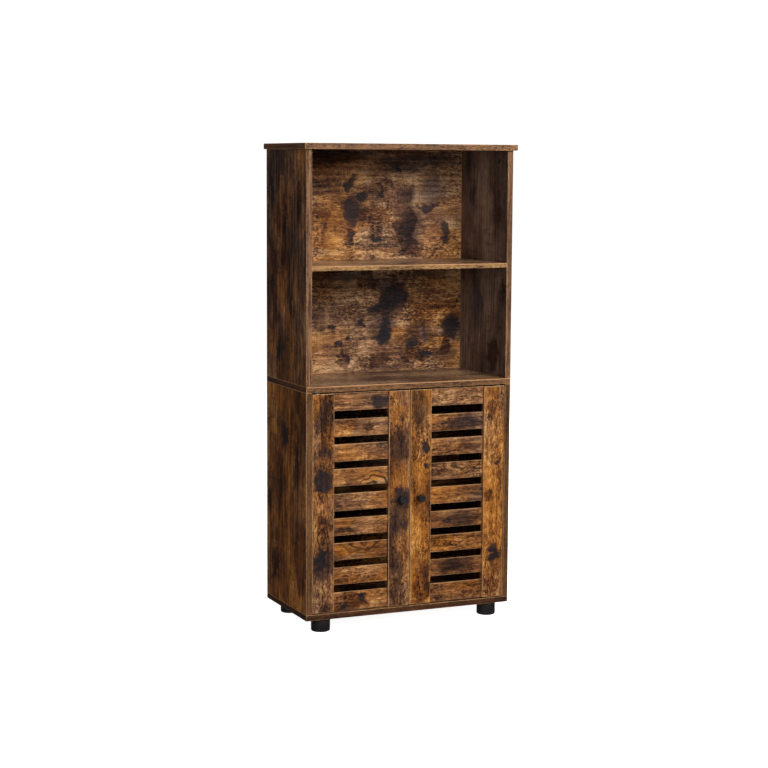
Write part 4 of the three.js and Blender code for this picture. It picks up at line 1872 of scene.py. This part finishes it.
@dataclass
class ShelfPins:
    """Four steel pins under the adjustable shelf, with a thin collar against the side panel."""

    radius: float = 2.5
    in_board: float = 8
    chamfer: float = 0.5
    under_shelf: float = 9
    end_round: float = 0.8
    collar_radius: float = 4
    collar: float = 0.7
    collar_gap: float = 0.05
    from_shelf_edge: float = 40

    def outline(self) -> list[Pair]:
        """Draws the pin, its free end towards +Z.

        Returns:
            The outline from the end in the board to the free end.
        """
        soft = self.end_round
        return [
            (0, -self.in_board),
            (self.radius - self.chamfer, -self.in_board),
            (self.radius, -self.in_board + self.chamfer),
            (self.radius, self.collar_gap),
            (self.collar_radius, self.collar_gap),
            (self.collar_radius, self.collar),
            (self.radius, self.collar),
            *arc((self.radius - soft, self.under_shelf - soft), soft, 0, 90, 3),
            (0, self.under_shelf),
        ]

    def build(self, carcass: Carcass) -> None:
        """Makes the pins.

        Args:
            carcass: The carcass whose sides they stand in.
        """
        level = carcass.lower_level + carcass.shelf_height - self.radius
        front = carcass.front_y + carcass.shelf_setback + self.from_shelf_edge
        rear = carcass.back_face_y - carcass.shelf_back_gap - self.from_shelf_edge
        for side in Side:
            out = -side.value * Axis.X.vector
            for row, y in (("front", front), ("rear", rear)):
                node = f"{row}_{side.word}_shelf_pin"
                pin = Turning(node, "turning", BRIGHT_STEEL, self.outline(), 32)
                pin.build(seat((side.value * carcass.inner_x, y, level), out))


@dataclass
class Catch:
    """The magnetic catch under the deck: an eared housing with two magnets.

    Of the housing's edges, those longer than least_edge and sharper than sharp, an angle in
    radians, get rounded.
    """

    width: float = 60
    depth: float = 22
    height: float = 16
    ear: float = 12
    ear_height: float = 3
    rounding: float = 0.8
    least_edge: float = 8
    sharp: float = 1.2
    magnet_x: float = 14.3
    magnet: Triple = (18, 12, 8)
    magnet_rounding: float = 0.4
    strike: float = 1.5
    gap: float = 0.3

    def outer_edges(self, housing: Workpiece, y: float, top: float) -> list[bmesh.types.BMEdge]:
        """The edges of the housing that get rounded.

        Args:
            housing: The housing's workpiece.
            y: Its middle from front to back, in millimetres.
            top: The underside of the deck.

        Returns:
            The long sharp edges on its front and back, below the deck.
        """
        levels = [(top - below) * MM for below in (self.height, self.ear_height)]
        reach = self.depth / 2 * MM - TOUCH
        found = []
        for edge in housing.mesh.edges:
            corners = [corner.co for corner in edge.verts]
            below = all(corner.z < top * MM - TOUCH for corner in corners)
            on_level = any(abs(corner.z - level) < TOUCH for corner in corners for level in levels)
            outer = all(abs(corner.y - y * MM) > reach for corner in corners)
            long = edge.calc_length() > self.least_edge * MM
            if below and on_level and outer and long and edge.is_manifold:
                if edge.calc_face_angle() > self.sharp:
                    found.append(edge)
        return found

    def build(self, carcass: Carcass, door_thickness: float) -> None:
        """Makes the housing, its magnets and its screws.

        Args:
            carcass: The carcass whose deck it hangs under.
            door_thickness: How far the doors reach back.
        """
        front = carcass.front_y + door_thickness + self.strike + self.gap
        y = front + self.depth / 2
        top = carcass.deck_level
        node = "catch_housing"
        housing = Workpiece.copied(node)
        housing.rounded(self.outer_edges(housing, y, top), self.rounding, 3)
        housing.delivered(f"{node}_moulding", "carcass", [BLACK_PLASTIC], [node], 32)
        for side in Side:
            node = f"{side.word}_catch_magnet"
            magnet = Workpiece()
            centre = (side.value * self.magnet_x, front + self.magnet[1] / 2, top - self.height / 2)
            magnet.block(self.magnet, centre, self.magnet_rounding)
            magnet.delivered(f"{node}_block", "carcass", [FERRITE], [node])
            name = f"{side.word}_catch_screw"
            head = (side.value * (self.width + self.ear) / 2, y, top - self.ear_height)
            Screw(
                name, head, Axis.Z.vector, diameter=3.5, length=12, head_diameter=7, head_height=2
            ).build()


# Doors


@dataclass(frozen=True)
class DoorLook:
    """How the print of one door's stiles looks, and how far its pieces' prints are shifted."""

    offset: float
    warmth: float
    shade: float
    contrast: float


DOOR_LOOKS = {
    Side.LEFT: DoorLook(offset=0, warmth=0.65, shade=0.07, contrast=0.8),
    Side.RIGHT: DoorLook(offset=10, warmth=0.95, shade=-0.02, contrast=0.88),
}


@dataclass
class Pivots:
    """The collared pins in a hinge stile's ends, and the flanged bushes in which they turn."""

    radius: float = 3
    in_bush: float = 12
    in_stile: float = 20
    chamfer: float = 0.6
    collar_radius: float = 6
    collar: float = 1.5
    bore: float = 3.15
    sleeve_radius: float = 5
    sleeve: float = 10
    flange_radius: float = 7
    flange: float = 1.2
    steps: int = 40

    def pin(self) -> list[Pair]:
        """Draws the pin, with the stile towards +Z.

        Returns:
            The outline from the end in the bush to the end in the stile.
        """
        return [
            (0, -self.in_bush),
            (self.radius - self.chamfer, -self.in_bush),
            (self.radius, -self.in_bush + 0.7),
            (self.radius, -self.collar),
            (self.collar_radius - 0.3, -self.collar),
            (self.collar_radius, -self.collar + 0.3),
            (self.collar_radius, 0),
            (self.radius, 0),
            (self.radius, self.in_stile - self.chamfer),
            (self.radius - self.chamfer, self.in_stile),
            (0, self.in_stile),
        ]

    def bush(self) -> list[Pair]:
        """Draws the bush, with the board towards +Z.

        Returns:
            The closed outline.
        """
        return [
            (self.bore, -self.flange),
            (self.flange_radius - 0.5, -self.flange),
            (self.flange_radius, -self.flange + 0.5),
            (self.flange_radius, 0),
            (self.sleeve_radius, 0),
            (self.sleeve_radius, self.sleeve - self.chamfer),
            (self.sleeve_radius - self.chamfer, self.sleeve),
            (self.bore, self.sleeve),
        ]

    def build(self, door: "Door") -> None:
        """Makes the pins that ride with the door and the bushes that stay in the carcass.

        Args:
            door: The door that turns on them.
        """
        x, y = door.pivot_x, door.front_y + door.thickness / 2
        ends = (
            ("lower", door.level, door.carcass.lower_level, Axis.Z.vector),
            ("upper", door.level + door.height, door.carcass.deck_level, -Axis.Z.vector),
        )
        for end, door_end, board_face, into_door in ends:
            node = f"{door.body}_{end}_pivot_pin"
            pin = Turning(node, "turning", BRIGHT_STEEL, self.pin(), self.steps, door.body)
            pin.build(seat((x, y, door_end), into_door))
            node = f"{end}_{door.side.word}_pivot_bush"
            bush = Turning(node, "moulding", BLACK_NYLON, self.bush(), self.steps)
            bush.build(seat((x, y, board_face), -into_door))


@dataclass
class Knob:
    """A turned knob on a narrow stem, held by a screw from behind."""

    radius: float = 10
    rounding: float = 2
    stem_radius: float = 6
    stem: float = 9
    length: float = 21
    from_lock_edge: float = 26

    def outline(self) -> list[Pair]:
        """Draws the knob, with the door at 0 and a slightly dished front.

        Returns:
            The outline from the door outwards.
        """
        rim = self.radius - self.rounding
        return [
            (0, 0),
            (self.stem_radius + 0.2, 0),
            (self.stem_radius, 0.6),
            (self.stem_radius - 0.3, 4),
            (self.stem_radius, self.stem - 0.6),
            (self.stem_radius + 0.6, self.stem),
            *arc((rim, self.stem + self.rounding), self.rounding, -90, 0),
            *arc((rim, self.length - self.rounding), self.rounding, 0, 90),
            (6.8, self.length - 0.1),
            (2.8, self.length - 0.35),
            (0, self.length - 0.4),
        ]

    def build(self, door: "Door") -> None:
        """Makes the knob and its screw.

        Args:
            door: The door that it sits on.
        """
        x = door.across(door.width - self.from_lock_edge)
        z = door.level + door.height / 2
        out = -Axis.Y.vector
        node = f"{door.body}_knob"
        knob = Turning(node, "turning", BLACK_PLASTIC, self.outline(), 64, door.body, 32)
        knob.build(seat((x, door.front_y, z), out))
        Screw(
            f"{node}_screw",
            (x, door.front_y + door.thickness, z),
            out,
            diameter=4,
            length=25,
            head_diameter=8,
            head_height=2.5,
            body=door.body,
        ).build()


@dataclass
class StrikePlate:
    """The steel plate behind a door that the catch holds, with its screw."""

    width: float = 26
    below_catch: float = 6
    under_screw: float = 6
    below_edge: float = 1
    rounding: float = 0.4

    def build(self, door: "Door", catch: Catch) -> None:
        """Makes the plate and its screw.

        Args:
            door: The door that carries it.
            catch: The catch that it meets.
        """
        node = f"{door.body}_strike_plate"
        x = door.side.value * catch.magnet_x
        back = door.front_y + door.thickness
        screw_z = door.carcass.deck_level - catch.height - self.below_catch
        top = door.level + door.height - self.below_edge
        bottom = screw_z - self.under_screw
        plate = Workpiece()
        size = (self.width, catch.strike, top - bottom)
        plate.block(size, (x, back + catch.strike / 2, (top + bottom) / 2), self.rounding)
        plate.delivered(f"{node}_pressing", door.body, [BRIGHT_STEEL], [node])
        Screw(
            f"{node}_screw",
            (x, back + catch.strike, screw_z),
            -Axis.Y.vector,
            diameter=3,
            length=10,
            head_diameter=6,
            head_height=1,
            body=door.body,
        ).build()


@dataclass
class Door:
    """One louvred door with its pivots, its knob and its strike plate."""

    side: Side
    carcass: Carcass
    thickness: float = 15
    side_gap: float = 2
    meeting_gap: float = 2
    top_gap: float = 4
    bottom_gap: float = 3
    stile: float = 60
    stile_rounding: float = 1.4
    top_rail: float = 48.5
    bottom_rail: float = 49.5
    slat_count: int = 7
    slat: float = 47.5
    slat_rounding: float = 0.9
    first_gap: float = 20
    slat_thickness: float = 8
    slat_trim: float = 2.4
    pivot_from_edge: float = 16
    pivots: Pivots = field(default_factory=Pivots)
    knob: Knob = field(default_factory=Knob)
    plate: StrikePlate = field(default_factory=StrikePlate)

    @property
    def body(self) -> str:
        """The body that the door's pieces ride on."""
        return f"{self.side.word}_door"

    @property
    def level(self) -> float:
        """The door's lower edge."""
        return self.carcass.lower_level + self.bottom_gap

    @property
    def height(self) -> float:
        """The door's height."""
        return self.carcass.lower_side - self.bottom_gap - self.top_gap

    @property
    def width(self) -> float:
        """The door's width."""
        return (2 * self.carcass.inner_x - 2 * self.side_gap - self.meeting_gap) / 2

    @property
    def front_y(self) -> float:
        """The face of the stiles."""
        return self.carcass.front_y

    @property
    def pivot_x(self) -> float:
        """The pivot axis."""
        return self.across(self.pivot_from_edge)

    def across(self, distance: float) -> float:
        """X at a distance from the hinge edge, in millimetres."""
        return self.side.value * (self.carcass.inner_x - self.side_gap - distance)

    def rows(self) -> list[tuple[str, float, float]]:
        """The rails and slats from the top down.

        Returns:
            Each one's name, the level of its middle and its height.
        """
        height = self.height
        used = self.top_rail + self.first_gap + self.slat_count * self.slat + self.bottom_rail
        gap = (height - used) / self.slat_count
        rows = [("top_rail", self.level + height - self.top_rail / 2, self.top_rail)]
        for number in range(self.slat_count):
            top = height - self.top_rail - self.first_gap - number * (self.slat + gap)
            rows.append((f"slat_{number + 1}", self.level + top - self.slat / 2, self.slat))
        rows.append(("bottom_rail", self.level + self.bottom_rail / 2, self.bottom_rail))
        return rows

    def marks(self, name: str) -> tuple[Mark, ...]:
        """The knots, stains and other marks of one piece."""
        return marked(DOOR_SPOTS[self.side].get(name, {}))

    def stile_board(self, name: str, x: float, shift: float) -> Board:
        """Describes one stile.

        Args:
            name: Its name within the door.
            x: Its middle, in millimetres.
            shift: How far its print is shifted against the other stile's.

        Returns:
            The board.
        """
        look = DOOR_LOOKS[self.side]
        foil = RusticFoil(
            f"{self.body}_{name}_foil",
            "door_wood",
            grain=Axis.Z,
            shift=(look.offset + shift, shift, 1.3),
            warmth=look.warmth,
            shade=look.shade,
            marks=self.marks(name),
            contrast=look.contrast,
        )
        return Board(
            f"{self.body}_{name}",
            (self.stile, self.thickness, self.height),
            (x, self.front_y + self.thickness / 2, self.level + self.height / 2),
            foil,
            self.body,
            rounding=self.stile_rounding,
            steps=3,
            banded=False,
            end_band=DOOR_END_SHADE_BAND,
            capped=(Axis.Z,),
        )

    def row_board(self, number: int, name: str, level: float, height: float) -> Board:
        """Describes one rail or slat.

        Args:
            number: Its number from the top down, from 0.
            name: Its name within the door.
            level: The middle of its frame solid, in millimetres.
            height: The height of its frame solid.

        Returns:
            The board.
        """
        warmth, shade = ROW_TONES[self.side][number]
        offset = DOOR_LOOKS[self.side].offset
        foil = RusticFoil(
            f"{self.body}_{name}_foil",
            "door_wood",
            shift=(offset + 1.37 * number, 0.61 * number, 0.43 * number),
            warmth=warmth,
            shade=shade,
            figure=0.75,
            marks=self.marks(name),
        )
        trim = 0 if name == "bottom_rail" else self.slat_trim
        length, deep = self.width - 2 * self.stile, self.slat_thickness
        x, y = self.across(self.width / 2), self.front_y + self.thickness - deep / 2
        return Board(
            f"{self.body}_{name}",
            (length, deep, height - trim),
            (x, y, level + trim / 2),
            foil,
            self.body,
            rounding=self.slat_rounding,
            round_along=(Axis.X,),
            banded=False,
            end_band=DOOR_END_SHADE_BAND,
            capped=(Axis.Z,) if "rail" in name else (),
            solid_size=(length, deep, height),
            solid_centre=(x, y, level),
        )

    def build(self, catch: Catch) -> None:
        """Makes the whole door.

        Args:
            catch: The catch that holds it shut.
        """
        self.stile_board("hinge_stile", self.across(self.stile / 2), 0.0).build()
        self.stile_board("lock_stile", self.across(self.width - self.stile / 2), 3.1).build()
        for number, row in enumerate(self.rows()):
            self.row_board(number, *row).build()
        self.pivots.build(self)
        self.knob.build(self)
        self.plate.build(self, catch)


# Studio


@dataclass(frozen=True)
class Lamp:
    """One soft square light: its place and aim in metres and its power in watts."""

    name: str
    at: Triple
    aim: Triple
    size: float
    power: float

    def hang(self) -> None:
        """Hangs the light where the camera doesn't see it."""
        data = bpy.data.lights.new(self.name, "AREA")
        data.shape = "SQUARE"
        data.size = self.size
        data.energy = self.power
        made = bpy.data.objects.new(self.name, data)
        made.location = self.at
        way = Vector(self.aim) - Vector(self.at)
        made.rotation_euler = way.to_track_quat("-Z", "Y").to_euler()
        made.visible_camera = False
        bpy.context.scene.collection.objects.link(made)


LAMPS = (
    Lamp("key_light", at=(0.65, -3.7, 2.6), aim=(0, 0, 0.7), size=1.9, power=166),
    Lamp("fill_light", at=(-3.0, -3.2, 1.4), aim=(0.1, 0, 0.7), size=2.4, power=52),
    Lamp("rear_light", at=(2.6, 3.0, 2.2), aim=(0, 0, 0.6), size=2.2, power=120),
)


@dataclass
class Studio:
    """The pale floor, the backdrop, the lights and the camera.

    Lens and sensor are in millimetres, and so is the eye; angles are in radians, and the radii of
    the floor and the dome in metres.
    """

    lens: float = 87.1655
    sensor: float = 36
    yaw: float = 0.4172
    pitch: float = 0.1184
    roll: float = 0.0059
    eye: Triple = (-2011.95, -4501.22, 1210.21)
    ambient: float = 0.14
    floor_radius: float = 40
    floor_steps: int = 96
    dome_radius: float = 39
    dome_steps: int = 4

    def build(self) -> None:
        """Sets the whole studio up."""
        self.build_floor()
        self.build_lights()
        self.build_camera()
        bpy.context.scene.view_settings.view_transform = "Standard"

    def staged(self, name: str, mesh: bmesh.types.BMesh, finish: Finish) -> bpy.types.Object:
        """Turns a mesh into a stage object that gives the cupboard no light.

        Args:
            name: Its name.
            mesh: Its shape.
            finish: What it wears.

        Returns:
            The new object.
        """
        data = bpy.data.meshes.new(name)
        mesh.to_mesh(data)
        mesh.free()
        data.materials.append(finish.material())
        made = bpy.data.objects.new(name, data)
        bpy.context.scene.collection.objects.link(made)
        made.visible_diffuse = False
        made.visible_glossy = False
        made.visible_shadow = False
        return made

    def build_floor(self) -> None:
        """Lays the floor and hangs the backdrop round it."""
        floor = bmesh.new()
        bmesh.ops.create_circle(
            floor, cap_ends=True, radius=self.floor_radius, segments=self.floor_steps
        )
        self.staged("studio_floor", floor, StudioWhite("studio_white", "floor"))
        dome = bmesh.new()
        bmesh.ops.create_icosphere(dome, subdivisions=self.dome_steps, radius=self.dome_radius)
        bmesh.ops.reverse_faces(dome, faces=dome.faces)
        backdrop = self.staged("studio_backdrop", dome, Backdrop("studio_backdrop", "floor"))
        backdrop.visible_transmission = False

    def build_lights(self) -> None:
        """Hangs the lights and sets the soft light from all round."""
        world = bpy.data.worlds.new("soft_room")
        world.use_nodes = True
        sky = world.node_tree.nodes["Background"]
        sky.inputs["Color"].default_value = WHITE
        sky.inputs["Strength"].default_value = self.ambient
        bpy.context.scene.world = world
        for lamp in LAMPS:
            lamp.hang()

    def build_camera(self) -> None:
        """Places the camera where the picture was taken from."""
        ahead = Vector(
            (
                math.sin(self.yaw) * math.cos(self.pitch),
                math.cos(self.yaw) * math.cos(self.pitch),
                -math.sin(self.pitch),
            )
        )
        level = Vector((math.cos(self.yaw), -math.sin(self.yaw), 0))
        upward = level.cross(ahead)
        right = math.cos(self.roll) * level + math.sin(self.roll) * upward
        above = -math.sin(self.roll) * level + math.cos(self.roll) * upward
        data = bpy.data.cameras.new("picture_camera")
        data.lens = self.lens
        data.sensor_width = self.sensor
        camera = bpy.data.objects.new("picture_camera", data)
        bpy.context.scene.collection.objects.link(camera)
        turn = Matrix((right, above, -ahead)).transposed().to_4x4()
        camera.matrix_world = Matrix.Translation(Vector(self.eye) * MM) @ turn
        bpy.context.scene.camera = camera


# The whole scene


def report(build: Callable[[], None]) -> None:
    """Builds one part of the scene.

    Args:
        build: The call that builds it.
    """
    build()


def main() -> None:
    """Loads the frame, builds the cupboard over it and sets up the studio."""
    logging.basicConfig(level=logging.INFO, format="%(name)s: %(message)s")
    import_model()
    carcass = Carcass()
    catch = Catch()
    doors = [Door(side, carcass) for side in Side]
    report(carcass.build)
    report(Feet().build)
    report(lambda: CamFittings().build(carcass))
    report(lambda: ShelfPins().build(carcass))
    report(lambda: catch.build(carcass, doors[0].thickness))
    for door in doors:
        report(lambda door=door: door.build(catch))
    report(Studio().build)


if __name__ == "__main__":
    main()
